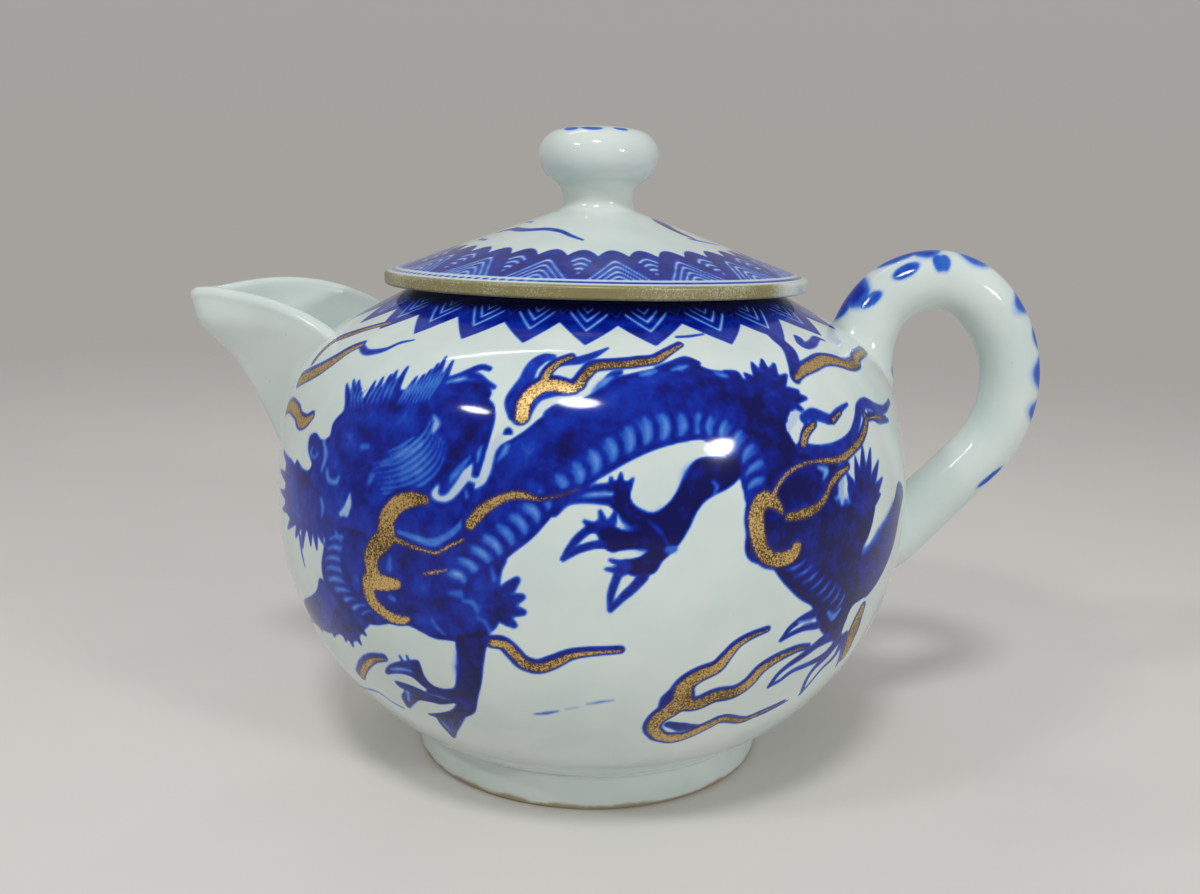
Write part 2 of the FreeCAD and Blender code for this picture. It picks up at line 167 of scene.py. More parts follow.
class TeapotSpoutSizes(bpy.types.PropertyGroup):
    """Sizes of the spout"""

    nose: length("Nose", "Radius of the rounded front", 5.0)
    low_reach: length("Low reach", "How far the front stands out of the belly at the bottom", -0.8)
    mid_reach: length("Middle reach", "How far the front stands out half way up", 7.5)
    high_reach: length("High reach", "How far the front stands out at the top", 20.8)
    low_angle: angle("Low angle", "Flare of each side at the bottom", 38.0)
    mid_angle: angle("Middle angle", "Flare of each side half way up", 32.0)
    high_angle: angle("High angle", "Flare of each side at the top", 26.5)
    low_height: length("Low height", "Height of the bottom section", 52.0)
    rise: length("Rise", "Height between sections", 20.0)
    wall: length("Wall", "Thickness of the spout's wall", 3.0)
    crest_reach: length("Crest reach", "Distance of the rim's crest from the axis", 66.0)
    crest_height: length("Crest height", "Height of the rim's crest", 88.9)
    rim_radius: length("Rim radius", "Radius of the arched rim seen from the side", 35.5)
    rim_tilt: angle("Rim tilt", "Slope of the rim across the spout", 6.5)
    roll: length("Roll", "How far the front swells outwards under the lip", 2.0)
    tip_lift: length("Tip lift", "How far the blunt tip of the lip stands up", 1.4)
    seat: length("Seat", "How deep the spout's edge sits in the wall", 1.5)
    fillet: length("Fillet", "How far the spout flares where it joins the bowl", 1.3)


class TeapotHandleSizes(bpy.types.PropertyGroup):
    """Sizes of the handle's centre line and its section"""

    top_across: length("Top across", "Distance of the top arc's centre from the axis", 64.6)
    top_height: length("Top height", "Height of the top arc's centre", 79.7)
    root_length: length("Root length", "Straight run before the top arc", 14.0)
    root_angle: angle("Root angle", "Where the top arc starts", 160.0)
    top_radius: length("Top radius", "Radius of the top arc", 13.5)
    side_angle: angle("Side angle", "Where the top arc meets the side arc", 44.0)
    side_radius: length("Side radius", "Radius of the side arc", 22.5)
    end_angle: angle("End angle", "Where the side arc ends", -42.5)
    straight: length("Straight", "Straight run back towards the bowl", 21.0)
    end_radius: length("End radius", "Radius of the last bend", 12.0)
    thickness: length("Thickness", "Diameter of the handle", 11.1)
    seat: length("Seat", "How deep the handle's ends sit in the wall", 1.0)
    fillet: length("Fillet", "How far the upper end flares where it joins the bowl", 1.7)
    low_fillet: length("Low fillet", "How far the lower end flares where it joins the bowl", 0.3)


class TeapotLidSizes(bpy.types.PropertyGroup):
    """Sizes of the lid, its flange and its knob"""

    base: length("Base", "Height of the lid's underside", 90.65)
    radius: length("Radius", "Outer radius of the lid", 39.85)
    edge: length("Edge", "Height of the lid's upright edge", 2.36)
    edge_round: length("Edge round", "Rounding of the edge", 0.6)
    slope: angle("Slope", "Slope of the cone", 20.0)
    wall: length("Wall", "Thickness of the cone", 4.0)
    flange_outer: length("Flange outer", "Outer radius of the flange", 30.4)
    flange_inner: length("Flange inner", "Inner radius of the flange", 27.4)
    flange_depth: length("Flange depth", "How far the flange drops into the mouth", 8.0)
    flange_round: length("Flange round", "Rounding of the flange's lower edge", 0.9)
    knob_radius: length("Knob radius", "Radius of the knob", 11.3)
    knob_side: length("Knob side", "Radius of the knob's round side", 4.9)
    knob_neck: length("Knob neck", "Radius of the hollow under the knob", 3.4)
    knob_neck_height: length("Neck height", "Height of the straight neck", 2.4)
    knob_lower_angle: angle("Lower angle", "Where the hollow meets the round side", 64.0)
    knob_upper_angle: angle("Upper angle", "Where the round side meets the crown", 79.8)
    knob_ledge: length("Knob ledge", "Flat ledge round the neck", 0.5)
    knob_fillet: length("Knob fillet", "Hollow where the neck runs out onto the lid", 2.15)


class TeapotColours(bpy.types.PropertyGroup):
    """Colours of the porcelain, the painting and the gilding"""

    glaze: colour("Glaze", "Clear glaze over white porcelain", "#d2dcd8")
    glaze_pool: colour("Glaze pool", "Glaze where it lies thicker", "#c6d4d1")
    blue_pale: colour("Pale blue", "Thinnest wash of cobalt", "#7da0dc")
    blue_light: colour("Light blue", "Thin wash of cobalt", "#2f68c4")
    blue_mid: colour("Middle blue", "Full wash of cobalt", "#042fa8")
    blue_deep: colour("Deep blue", "Cobalt laid twice", "#001584")
    # The darkest blue is pooled cobalt, and also painted shade on the collar and the mouth rim under the lid
    blue_dark_and_shade: colour("Dark blue", "Cobalt where it pooled", "#000350")
    gilt: colour("Gilding", "Burnished gold", "#8e6d34")
    gilt_bright: colour("Bright gilding", "Gold where it is thickest", "#d6b676")
    gilt_dark: colour("Worn gilding", "Gold rubbed thin over the blue", "#3f3120")
    rim_gilt: colour("Rim gilding", "Gold rubbed to an olive film on the lid's edge", "#8a8259")
    rim_bare: colour("Rim bare", "Porcelain that shows through the rim", "#bab8a4")
    biscuit: colour("Biscuit", "Unglazed porcelain of the foot", "#a39678")
    floor: colour("Floor", "Studio floor and backdrop", "#dcd9d5")


# Round surfaces and their unrolled skins


class Outline:
    """A side outline in the XZ plane, drawn from a start point by straight and round steps."""

    def __init__(self, start):
        self.mesh = bmesh.new()
        self.tip = self.mesh.verts.new(start)

    def line(self, end, steps=1):
        """Run straight to a point."""
        first = self.tip.co.copy()
        for step in range(1, steps + 1):
            made = bmesh.ops.extrude_vert_indiv(self.mesh, verts=[self.tip])
            self.tip = made["verts"][0]
            self.tip.co = first.lerp(Vector(end), step / steps)

    def arc(self, centre, turn, steps):
        """Turn about a centre; a positive turn goes from +X towards +Z."""
        made = bmesh.ops.spin(
            self.mesh, geom=[self.tip], cent=centre, axis=(0, -1, 0), angle=turn, steps=steps
        )
        self.tip = [item for item in made["geom_last"] if isinstance(item, bmesh.types.BMVert)][0]

    def points(self):
        """Return the drawn points in order, as distances from the axis and heights."""
        return np.array([(vert.co.x, vert.co.z) for vert in self.mesh.verts])

    def revolve(self, wedges=WEDGES):
        """Turn the outline once round the axis, one wedge and then its copies, and return the mesh."""
        mesh = self.mesh
        share = TURN / wedges
        centre, axis = (0, 0, 0), (0, 0, 1)
        geometry = mesh.verts[:] + mesh.edges[:]
        bmesh.ops.spin(mesh, geom=geometry, cent=centre, axis=axis, angle=share, steps=WEDGE_STEPS)
        geometry = mesh.verts[:] + mesh.edges[:] + mesh.faces[:]
        bmesh.ops.spin(
            mesh, geom=geometry, cent=centre, axis=axis, angle=TURN - share, steps=wedges - 1,
            use_duplicate=True,
        )
        bmesh.ops.remove_doubles(mesh, verts=mesh.verts, dist=MERGE)
        bmesh.ops.recalc_face_normals(mesh, faces=mesh.faces)
        return mesh


def point(across, height):
    """Return a point of a side outline."""
    return Vector((across, 0.0, height))


def turned_point(centre, radius, direction):
    """Return the point on a circle of a side outline at a direction from +X."""
    return centre + point(radius * math.cos(direction), radius * math.sin(direction))


class RoundSkin:
    """The outside of a round piece: places on it by angle and by length up its outline."""

    def __init__(self, points):
        self.radius, self.height = points.T
        steps = np.hypot(np.diff(self.radius), np.diff(self.height))
        self.length = np.concatenate(([0.0], np.cumsum(steps)))
        self.out = np.gradient(self.height, self.length)
        self.up = -np.gradient(self.radius, self.length)

    def place(self, angles, lengths, lift):
        """Return points on the skin, lifted off it along its normal."""
        out = np.interp(lengths, self.length, self.out) * lift
        up = np.interp(lengths, self.length, self.up) * lift
        radius = np.interp(lengths, self.length, self.radius) + out
        height = np.interp(lengths, self.length, self.height) + up
        return np.stack((radius * np.cos(angles), radius * np.sin(angles), height), axis=-1)

    def depth(self, points):
        """Return how far points lie under the skin, negative outside it."""
        inside = np.interp(points[..., 2], self.height, self.radius)
        lean = np.interp(points[..., 2], self.height, self.out)
        return (inside - np.hypot(points[..., 0], points[..., 1])) * lean

    def seen_at(self, pixels):
        """Return the angle and length at which the photograph's pixels see the skin."""
        pixels = np.array(pixels, float)
        for _ in range(RAY_TRIES):
            rays = photo_rays(pixels)
            spots = np.array(CAMERA_PLACE) + rays[:, None, :] * RAY_REACHES[None, :, None]
            height = spots[..., 2]
            inside = self.depth(spots) > 0.0
            inside &= (height > self.height[0]) & (height < self.height[-1])
            missed = ~inside.any(axis=1)
            if not missed.any():
                break
            pixels[missed] += (np.array(POT_MIDDLE) - pixels[missed]) * RAY_NUDGE
        first = np.maximum(inside.argmax(axis=1), 1)
        rows = np.arange(len(pixels))
        outer, inner = self.depth(spots[rows, first - 1]), self.depth(spots[rows, first])
        share = np.clip(-outer / np.maximum(inner - outer, 1e-9), 0.0, 1.0)[:, None]
        hits = spots[rows, first - 1] * (1.0 - share) + spots[rows, first] * share
        angles = np.arctan2(hits[:, 1], hits[:, 0])
        return angles, np.interp(hits[:, 2], self.height, self.length)


def camera_axes():
    """Return the camera's right, up and forward directions, level with the picture's edges."""
    pitch, roll = CAMERA_PITCH, CAMERA_ROLL
    level_right = np.array((1.0, 0.0, 0.0))
    level_up = np.array((0.0, math.sin(pitch), math.cos(pitch)))
    forward = np.array((0.0, math.cos(pitch), -math.sin(pitch)))
    right = level_right * math.cos(roll) + level_up * math.sin(roll)
    up = level_up * math.cos(roll) - level_right * math.sin(roll)
    return right, up, forward


def photo_rays(pixels):
    """Return the direction from the camera through each of the photograph's pixels."""
    right, up, forward = camera_axes()
    across = (pixels[:, :1] - PHOTO_WIDTH / 2) / FOCAL_PIXELS
    down = (pixels[:, 1:] - PHOTO_HEIGHT / 2) / FOCAL_PIXELS
    rays = forward + right * across - up * down
    return rays / np.linalg.norm(rays, axis=1, keepdims=True)


def photo_pixels(points):
    """Return where points fall in the photograph."""
    right, up, forward = camera_axes()
    ray = points - np.array(CAMERA_PLACE)
    ahead = ray @ forward
    across = PHOTO_WIDTH / 2 + FOCAL_PIXELS * (ray @ right) / ahead
    down = PHOTO_HEIGHT / 2 - FOCAL_PIXELS * (ray @ up) / ahead
    return np.stack((across, down), axis=-1)


def ease(values):
    """Return a soft step from 0 to 1."""
    values = np.clip(values, 0.0, 1.0)
    return values * values * (3.0 - 2.0 * values)


def smooth_path(points, closed=False, parts=6):
    """Return a smooth path through points, with several parts to each step."""
    points = np.asarray(points, float)
    if closed:
        padded = np.concatenate((points[-1:], points, points[:2]))
    else:
        padded = np.concatenate((2 * points[:1] - points[1:2], points, 2 * points[-1:] - points[-2:-1]))
    before, first, last, after = padded[:-3], padded[1:-2], padded[2:-1], padded[3:]
    steps = []
    for share in np.arange(parts) / parts:
        curve = 2 * first + (last - before) * share
        curve = curve + (2 * before - 5 * first + 4 * last - after) * share ** 2
        curve = curve + (3 * first - before - 3 * last + after) * share ** 3
        steps.append(curve / 2)
    path = np.stack(steps, axis=1).reshape(-1, 2)
    return path if closed else np.concatenate((path, points[-1:]))


def step_gap(across, along, first, last):
    """Return how far places lie from one step of a path, and the share of it that is nearest."""
    step = last - first
    size = max(float(step @ step), TINY)
    share = ((across - first[0]) * step[0] + (along - first[1]) * step[1]) / size
    share = np.clip(share, 0.0, 1.0)
    return np.hypot(across - first[0] - share * step[0], along - first[1] - share * step[1]), share


class Canvas:
    """Ink and gilding on the unrolled skin of a round piece."""

    def __init__(self, skin, first_angle, last_angle):
        self.skin = skin
        self.girth = float(skin.radius.max())
        self.first_angle, self.last_angle = first_angle, last_angle
        columns = int((last_angle - first_angle) * self.girth / CELL) + 1
        rows = int(skin.length[-1] / CELL) + 1
        self.across = np.linspace(first_angle, last_angle, columns) * self.girth
        self.along = np.linspace(0.0, skin.length[-1], rows)
        self.layers = {name: np.zeros((rows, columns)) for name in ("ink", "gilt")}

    def spots(self, pixels):
        """Return the unrolled places that the photograph's pixels see."""
        angles, lengths = self.skin.seen_at(pixels)
        return np.stack((angles * self.girth, lengths), axis=-1)

    def window(self, path, margin):
        """Return the part of the canvas round a path, as slices and places."""
        low, high = path.min(axis=0) - margin, path.max(axis=0) + margin
        columns = slice(*np.searchsorted(self.across, (low[0], high[0])))
        rows = slice(*np.searchsorted(self.along, (low[1], high[1])))
        return rows, columns, self.across[columns][None, :], self.along[rows][:, None]

    def lay(self, layer, rows, columns, cover, depth):
        """Lay paint of one depth over a part of a layer."""
        part = self.layers[layer][rows, columns]
        part += (depth - part) * cover

    def brush(self, spots, widths, depth, layer="ink", edge=EDGE):
        """Draw one brush stroke; widths in millimetres are spread along it."""
        path = smooth_path(spots)
        places = np.linspace(0.0, 1.0, len(path))
        halves = np.interp(places, np.linspace(0.0, 1.0, len(widths)), widths) * MM / 2
        rows, columns, across, along = self.window(path, halves.max() + edge)
        away = np.full((along.size, across.size), 1.0)
        for first, last, thin, thick in zip(path[:-1], path[1:], halves[:-1], halves[1:]):
            gap, share = step_gap(across, along, first, last)
            away = np.minimum(away, gap - thin - (thick - thin) * share)
        self.lay(layer, rows, columns, ease(0.5 - away / edge), depth)

    def wash(self, spots, depth, pool):
        """Fill a closed outline with ink; `pool` darkens it along its edge."""
        path = smooth_path(spots, closed=True, parts=4)
        rows, columns, across, along = self.window(path, EDGE)
        away = np.full((along.size, across.size), 1.0)
        inside = np.zeros(away.shape, bool)
        for first, last in zip(path, np.roll(path, -1, axis=0)):
            away = np.minimum(away, step_gap(across, along, first, last)[0])
            step = last - first
            if abs(step[1]) > TINY:
                crosses = (along >= first[1]) != (along >= last[1])
                inside ^= crosses & (across < first[0] + (along - first[1]) / step[1] * step[0])
        away = np.where(inside, -away, away)
        shade = depth + pool * np.exp(-((away / POOL_REACH) ** 2))
        self.lay("ink", rows, columns, ease(0.5 - away / EDGE), shade)

    def read(self, layer, angles, lengths):
        """Return a layer's paint at places on the skin."""
        values = self.layers[layer]
        column = (angles - self.first_angle) / (self.last_angle - self.first_angle)
        column = np.clip(column, 0.0, 1.0) * (self.across.size - 1)
        row = np.clip(lengths / self.along[-1], 0.0, 1.0) * (self.along.size - 1)
        left = np.minimum(column.astype(int), self.across.size - 2)
        low = np.minimum(row.astype(int), self.along.size - 2)
        right_share, high_share = column - left, row - low
        lower = values[low, left] * (1 - right_share) + values[low, left + 1] * right_share
        upper = values[low + 1, left] * (1 - right_share) + values[low + 1, left + 1] * right_share
        return lower * (1 - high_share) + upper * high_share


# The painting, by pixels of the photograph

# Broad washes of cobalt: how deep each is, then its outline; first, how much their edges darken
WASH_POOL = 0.12
WASHES = (
    # Head, mane and neck
    (0.8, (347, 397), (353, 394), (358, 397), (362, 401), (370, 395), (380, 389), (391, 383), (398, 385),
     (402, 390), (409, 388), (417, 386), (427, 380), (437, 374), (445, 373), (448, 380), (456, 383),
     (466, 381), (478, 382), (488, 387), (491, 394), (489, 399), (494, 405), (495, 417), (493, 428),
     (490, 438), (487, 450), (484, 462), (480, 474), (476, 482), (468, 502), (455, 545), (430, 575),
     (400, 560), (370, 556), (345, 552), (328, 540), (316, 532), (306, 526), (298, 512), (295, 495),
     (294, 476), (297, 460), (302, 468), (308, 471), (312, 464), (309, 452), (310, 438), (316, 433),
     (322, 440), (330, 436), (333, 424), (338, 417), (344, 410)),
    # Beard at the left edge
    (0.72, (300, 470), (299, 490), (304, 510), (318, 526), (310, 531), (298, 526), (290, 518), (286, 508),
     (285, 495), (286, 480), (286, 466), (290, 458), (296, 466)),
    # Lower coil
    (0.84, (345, 528), (328, 536), (324, 550), (322, 566), (325, 582), (338, 598), (350, 610), (362, 620),
     (376, 625), (394, 623), (410, 626), (422, 632), (434, 638), (447, 640), (459, 641), (480, 636),
     (495, 629), (500, 615), (502, 600), (500, 585), (502, 570), (506, 558), (490, 540), (440, 540),
     (390, 540)),
    # Fringe under the lower coil
    (0.74, (320, 578), (316, 592), (305, 604), (309, 614), (316, 624), (328, 632), (340, 634), (350, 641),
     (358, 640), (362, 632), (370, 622), (352, 610), (340, 598), (330, 588)),
    # Long body
    (0.82, (466, 500), (476, 480), (486, 460), (499, 446), (514, 438), (526, 430), (538, 420), (550, 412),
     (564, 407), (579, 401), (593, 393), (604, 385), (618, 377), (634, 373), (652, 369), (672, 366),
     (692, 362), (700, 366), (712, 370), (728, 372), (740, 378), (764, 384), (786, 390), (790, 410),
     (784, 430), (792, 446), (770, 470), (746, 484), (738, 472), (728, 459), (712, 445), (700, 439),
     (686, 441), (670, 445), (654, 450), (640, 456), (626, 463), (612, 471), (600, 478), (588, 486),
     (577, 494), (566, 503), (556, 511), (548, 520), (540, 530), (530, 540), (518, 549), (507, 557),
     (503, 566), (490, 585), (460, 590), (440, 570), (450, 530), (465, 505)),
    # Hind quarters
    (1.04, (735, 462), (741, 480), (746, 502), (748, 525), (745, 547), (751, 561), (771, 567), (784, 583),
     (799, 598), (812, 606), (816, 618), (822, 632), (836, 642), (844, 624), (852, 606), (866, 594),
     (872, 575), (862, 562), (862, 548), (868, 536), (873, 518), (874, 502), (862, 500), (850, 505),
     (842, 512), (834, 500), (836, 486), (846, 470), (830, 463), (810, 456), (798, 448), (789, 434),
     (783, 418), (785, 400), (770, 392), (752, 400)),
    # The body again where it turns out of sight at the right
    (0.9, (898, 482), (893, 504), (884, 528), (873, 552), (862, 556), (857, 575), (863, 597), (873, 588),
     (884, 569), (893, 545), (899, 515), (903, 492)),
    # Right foreleg and paw
    (1.02, (737, 462), (739, 477), (729, 487), (716, 494), (705, 501), (697, 511), (690, 526), (681, 541),
     (672, 552), (662, 561), (655, 572), (642, 576), (628, 574), (621, 567), (622, 560), (632, 559),
     (642, 556), (648, 550), (636, 549), (622, 550), (613, 552), (605, 548), (600, 540), (596, 533),
     (589, 531), (592, 525), (600, 522), (610, 522), (616, 527), (625, 531), (641, 530), (642, 527),
     (630, 524), (622, 520), (618, 512), (610, 506), (607, 500), (612, 497), (614, 492), (608, 488),
     (612, 483), (620, 481), (631, 484), (630, 496), (634, 505), (644, 511), (656, 513), (668, 504),
     (678, 490), (686, 474), (697, 460), (716, 457)),
    # Left foreleg, then its toes
    (0.94, (458, 637), (487, 632), (485, 652), (483, 668), (481, 684), (478, 697), (475, 712), (466, 717),
     (462, 723), (457, 732), (454, 738), (447, 731), (440, 723), (436, 717), (428, 714), (440, 713),
     (452, 710), (456, 703), (440, 704), (428, 699), (426, 692), (432, 687), (444, 689), (454, 688),
     (457, 678), (458, 658)),
    (0.92, (455, 690), (440, 689), (430, 683), (424, 675), (420, 664), (417, 660), (407, 661), (398, 662),
     (390, 665), (386, 670), (387, 674), (395, 673), (405, 674), (414, 678), (422, 685), (432, 692),
     (446, 698)),
    (0.9, (442, 700), (428, 693), (415, 687), (404, 683), (395, 681), (400, 687), (405, 690), (402, 696),
     (405, 703), (409, 708), (414, 704), (420, 700), (432, 702)),
)
# Leaves of the tufts: widths in millimetres from the root to the tip, the root, then the tips
TUFT_DEPTH = 0.9
TUFTS = (
    ((2.4, 2.6, 1.9, 0.6), (766, 396), (745, 374), (752, 363), (762, 360), (774, 364), (786, 375),
     (798, 391), (806, 398), (802, 409), (789, 421)),
    ((2.2, 2.2, 1.9, 1.1), (490, 607), (517, 580), (522, 597), (523, 612), (514, 625)),
    ((2.4, 2.4, 1.8, 0.5), (861, 512), (847, 474), (848, 488), (855, 458), (862, 447), (870, 449),
     (878, 461), (882, 478), (880, 494)),
    ((2.2, 2.4, 1.8, 0.5), (343, 608), (346, 641), (353, 646), (361, 644), (366, 635), (334, 636)),
    ((2.2, 2.4, 1.8, 0.5), (318, 604), (305, 604), (312, 622), (322, 631)),
)
# Hairs that stand up along the mane: a root and a tip
MANE_WIDTHS = (2.2, 1.4, 0.5)
MANE_DEPTH = 0.82
MANE_TIPS = (
    ((350, 406), (347, 384)), ((356, 406), (354, 380)), ((360, 405), (359, 381)), ((366, 404), (375, 382)),
    ((374, 400), (383, 378)), ((382, 397), (391, 375)), ((388, 395), (397, 371)), ((394, 393), (408, 367)),
    ((404, 400), (417, 377)), ((411, 400), (424, 375)), ((418, 398), (431, 370)), ((426, 396), (438, 364)),
    ((433, 392), (446, 357)), ((440, 390), (453, 361)), ((292, 468), (284, 451)), ((289, 480), (281, 470)),
    ((289, 497), (281, 490)), ((290, 508), (283, 509)), ((294, 519), (288, 528)), ((299, 524), (296, 537)),
    ((304, 526), (303, 547)), ((310, 528), (311, 545)), ((315, 528), (317, 549)), ((320, 530), (323, 543)),
)
# Dark brush strokes: widths, depth, then points
STROKES = (
    # Claws of the right foot
    ((1.3, 1.2, 0.7), 0.88, (600, 524), (588, 530), (577, 539), (569, 549), (563, 559)),
    ((1.3, 1.1, 0.7), 0.88, (606, 544), (594, 545), (580, 549), (571, 554), (563, 559)),
    ((1.3, 1.2, 0.7), 0.88, (622, 567), (616, 580), (611, 595), (610, 610)),
    ((1.6, 1.4, 0.7), 0.88, (643, 577), (633, 588), (622, 598), (611, 610)),
    ((1.4, 0.5), 0.85, (596, 528), (584, 521)), ((1.5, 0.5), 0.85, (604, 524), (600, 511)),
    ((1.4, 0.5), 0.85, (612, 522), (616, 511)), ((1.4, 0.5), 0.85, (628, 566), (610, 560)),
    ((1.4, 0.5), 0.85, (624, 571), (606, 569)), ((1.2, 0.5), 0.85, (612, 487), (611, 478)),
    ((1.3, 0.5), 0.85, (620, 486), (621, 474)), ((1.2, 0.5), 0.85, (628, 487), (633, 479)),
    ((1.2, 1.1, 0.8), 0.86, (612, 487), (598, 488), (586, 491), (574, 495)),
    ((1.3, 1.0, 0.9, 1.4), 0.86, (612, 501), (596, 500), (580, 500), (566, 503), (554, 512)),
    # Claws of the hind foot
    ((1.8, 1.2, 0.7), 0.9, (816, 612), (802, 619), (790, 628), (781, 640)),
    ((1.4, 1.0, 0.7), 0.9, (818, 625), (804, 628), (791, 634), (781, 640)),
    ((2.6, 1.6, 1.1, 0.8), 0.92, (834, 634), (820, 642), (806, 653), (790, 664), (778, 674), (769, 686)),
    ((2.2, 1.2, 0.9, 0.7), 0.9, (838, 640), (824, 655), (808, 664), (792, 671), (780, 680), (769, 686)),
    ((2.4, 1.4, 1.0, 0.7), 0.9, (838, 640), (826, 656), (814, 668), (806, 680), (800, 694)),
    ((1.6, 0.8, 0.7), 0.85, (842, 640), (834, 656), (822, 668), (812, 680), (800, 694)),
    ((2.0, 1.4, 0.6), 0.85, (844, 636), (842, 650), (836, 666)),
    ((2.6, 2.6, 2.0), 0.93, (838, 626), (830, 634), (824, 640)),
    # Horns over the mane
    ((0.9, 1.1, 1.3, 0.9), 0.8, (446, 380), (458, 376), (470, 371), (482, 367), (490, 369)),
    ((1.0, 1.5, 1.2, 0.6), 0.8, (468, 375), (478, 377), (486, 383), (495, 387)),
    ((0.4, 1.1, 0.6), 0.85, (504, 434), (508, 431), (511, 433)),
    # Spines along the back
    ((0.8, 1.4, 1.8, 1.0), 0.88, (656, 369), (672, 364), (686, 360), (698, 363)),
    ((1.2, 1.4, 0.8), 0.88, (726, 373), (736, 374), (741, 379)),
    ((1.8, 1.4, 0.8), 0.85, (602, 388), (612, 376), (621, 372)),
    ((1.4, 1.2, 0.6), 0.82, (548, 414), (556, 408), (566, 405)),
    # Ribbon down from the collar, and small clouds beside it
    ((3.2, 3.4, 3.2, 2.8, 2.2), 0.86, (766, 328), (777, 339), (788, 349), (793, 362), (795, 378)),
    ((2.0, 2.0, 1.6, 0.8), 0.78, (798, 338), (802, 345), (811, 344), (816, 338), (823, 340)),
    ((0.5, 0.6, 0.4), 0.85, (676, 337), (690, 336), (703, 334)),
    # Blue clouds at the right
    ((1.6, 2.1, 1.8, 1.4, 0.6), 0.76, (803, 418), (812, 414), (823, 417), (831, 419), (838, 411), (847, 404)),
    ((0.8, 1.0, 0.6), 0.84, (806, 424), (804, 434), (802, 444)),
    ((1.8, 2.0, 2.0, 2.0, 1.8, 1.0), 0.82, (800, 448), (820, 451), (838, 447), (851, 437), (857, 421),
     (859, 408), (866, 403), (876, 408), (884, 409), (889, 401)),
    ((0.8, 1.4, 0.7), 0.7, (868, 412), (878, 420), (888, 420)), ((2.0, 2.0), 0.95, (828, 490), (835, 490)),
    # Blue edges of the upper cloud
    ((1.2, 2.2, 2.6, 2.4, 1.4), 0.7, (512, 416), (510, 402), (518, 390), (526, 380), (533, 366), (544, 358),
     (553, 357)),
    ((0.5, 0.7, 0.5), 0.86, (511, 417), (508, 402), (516, 389)),
    ((0.8, 1.6, 1.8, 1.4, 0.5), 0.74, (554, 366), (566, 362), (580, 360), (596, 354), (608, 348)),
    ((0.6, 0.9, 0.5), 0.72, (530, 413), (540, 399), (556, 394), (576, 393)),
    # Thin lines on the white
    ((1.2, 1.4, 0.9, 0.5), 0.75, (362, 346), (367, 352), (384, 350), (400, 343), (414, 340)),
    ((0.6, 0.3), 0.9, (756, 716), (770, 710), (788, 700)),
    ((0.6, 0.9, 0.5), 0.4, (535, 714), (547, 713), (558, 711)), ((0.5, 0.4), 0.3, (566, 709), (578, 707)),
    ((0.5, 0.7, 0.4), 0.36, (587, 704), (600, 702), (614, 700)),
    # Shade under the low cloud on the right
    ((1.4, 2.4, 0.8), 0.9, (668, 724), (682, 727), (698, 726)),
    ((0.8, 2.4, 2.0, 1.0), 0.86, (660, 708), (667, 699), (675, 691), (686, 681)),
    ((0.6, 0.6), 0.55, (360, 686), (376, 691), (391, 701), (404, 708)),
    ((0.9, 0.7, 0.4), 0.72, (300, 536), (302, 552), (305, 566)), ((0.5, 0.6), 0.8, (400, 656), (404, 663)),
    ((0.5, 0.6), 0.8, (407, 656), (410, 663)),
)
# Soft pools and thin places in the blue: width, depth, then points
POOL_EDGE = 3.6 * MM
POOLS = (
    (2.6, 0.92, (446, 389), (466, 387), (484, 391)), (2.6, 0.92, (385, 404), (398, 410)),
    (4.5, 0.92, (446, 470), (458, 450), (472, 430)), (3.2, 0.9, (362, 430), (380, 440), (386, 454)),
    (3.0, 0.9, (344, 462), (360, 466), (374, 462)), (2.6, 0.94, (356, 482), (362, 502)),
    (2.4, 0.95, (300, 474), (307, 484)), (1.4, 0.9, (311, 440), (312, 450)),
    (3.0, 0.9, (452, 408), (470, 416)), (2.4, 0.9, (420, 412), (434, 405)),
    (6.0, 0.96, (700, 386), (728, 394), (750, 410)), (4.5, 0.94, (542, 452), (566, 446), (560, 462)),
    (3.4, 0.92, (660, 390), (690, 390)), (5.0, 0.98, (742, 430), (760, 440), (776, 430)),
    (5.0, 0.92, (404, 610), (430, 602), (452, 612)), (4.0, 0.9, (396, 560), (412, 556)),
    (3.4, 0.92, (520, 470), (536, 460)), (9.0, 1.0, (778, 470), (800, 484), (820, 480)),
    (11.0, 1.0, (776, 530), (806, 536), (838, 556)), (8.0, 1.0, (820, 510), (850, 530), (850, 570)),
    (3.0, 0.97, (700, 470), (690, 486)), (4.0, 1.0, (632, 520), (650, 536), (664, 520)),
    (3.0, 0.97, (466, 650), (468, 690)), (4.0, 0.95, (862, 560), (880, 540), (893, 510)),
    (2.6, 0.64, (346, 432), (356, 446)), (2.4, 0.66, (330, 456), (338, 470)),
    (2.4, 0.66, (372, 412), (384, 424)), (2.2, 0.64, (398, 424), (412, 418)),
    (2.2, 0.64, (336, 492), (342, 506)), (2.0, 0.62, (378, 500), (392, 496)),
    (4.0, 0.68, (404, 470), (424, 452)), (2.2, 0.68, (560, 420), (590, 408), (620, 394)),
    (2.4, 0.68, (508, 476), (528, 448), (552, 430)), (1.8, 0.68, (640, 384), (664, 378)),
    (2.4, 0.64, (416, 590), (428, 584)), (2.4, 0.64, (472, 580), (486, 592)),
    (2.4, 0.66, (360, 566), (358, 584)), (2.0, 0.66, (420, 622), (436, 618)),
    (2.0, 0.64, (470, 620), (480, 612)),
)
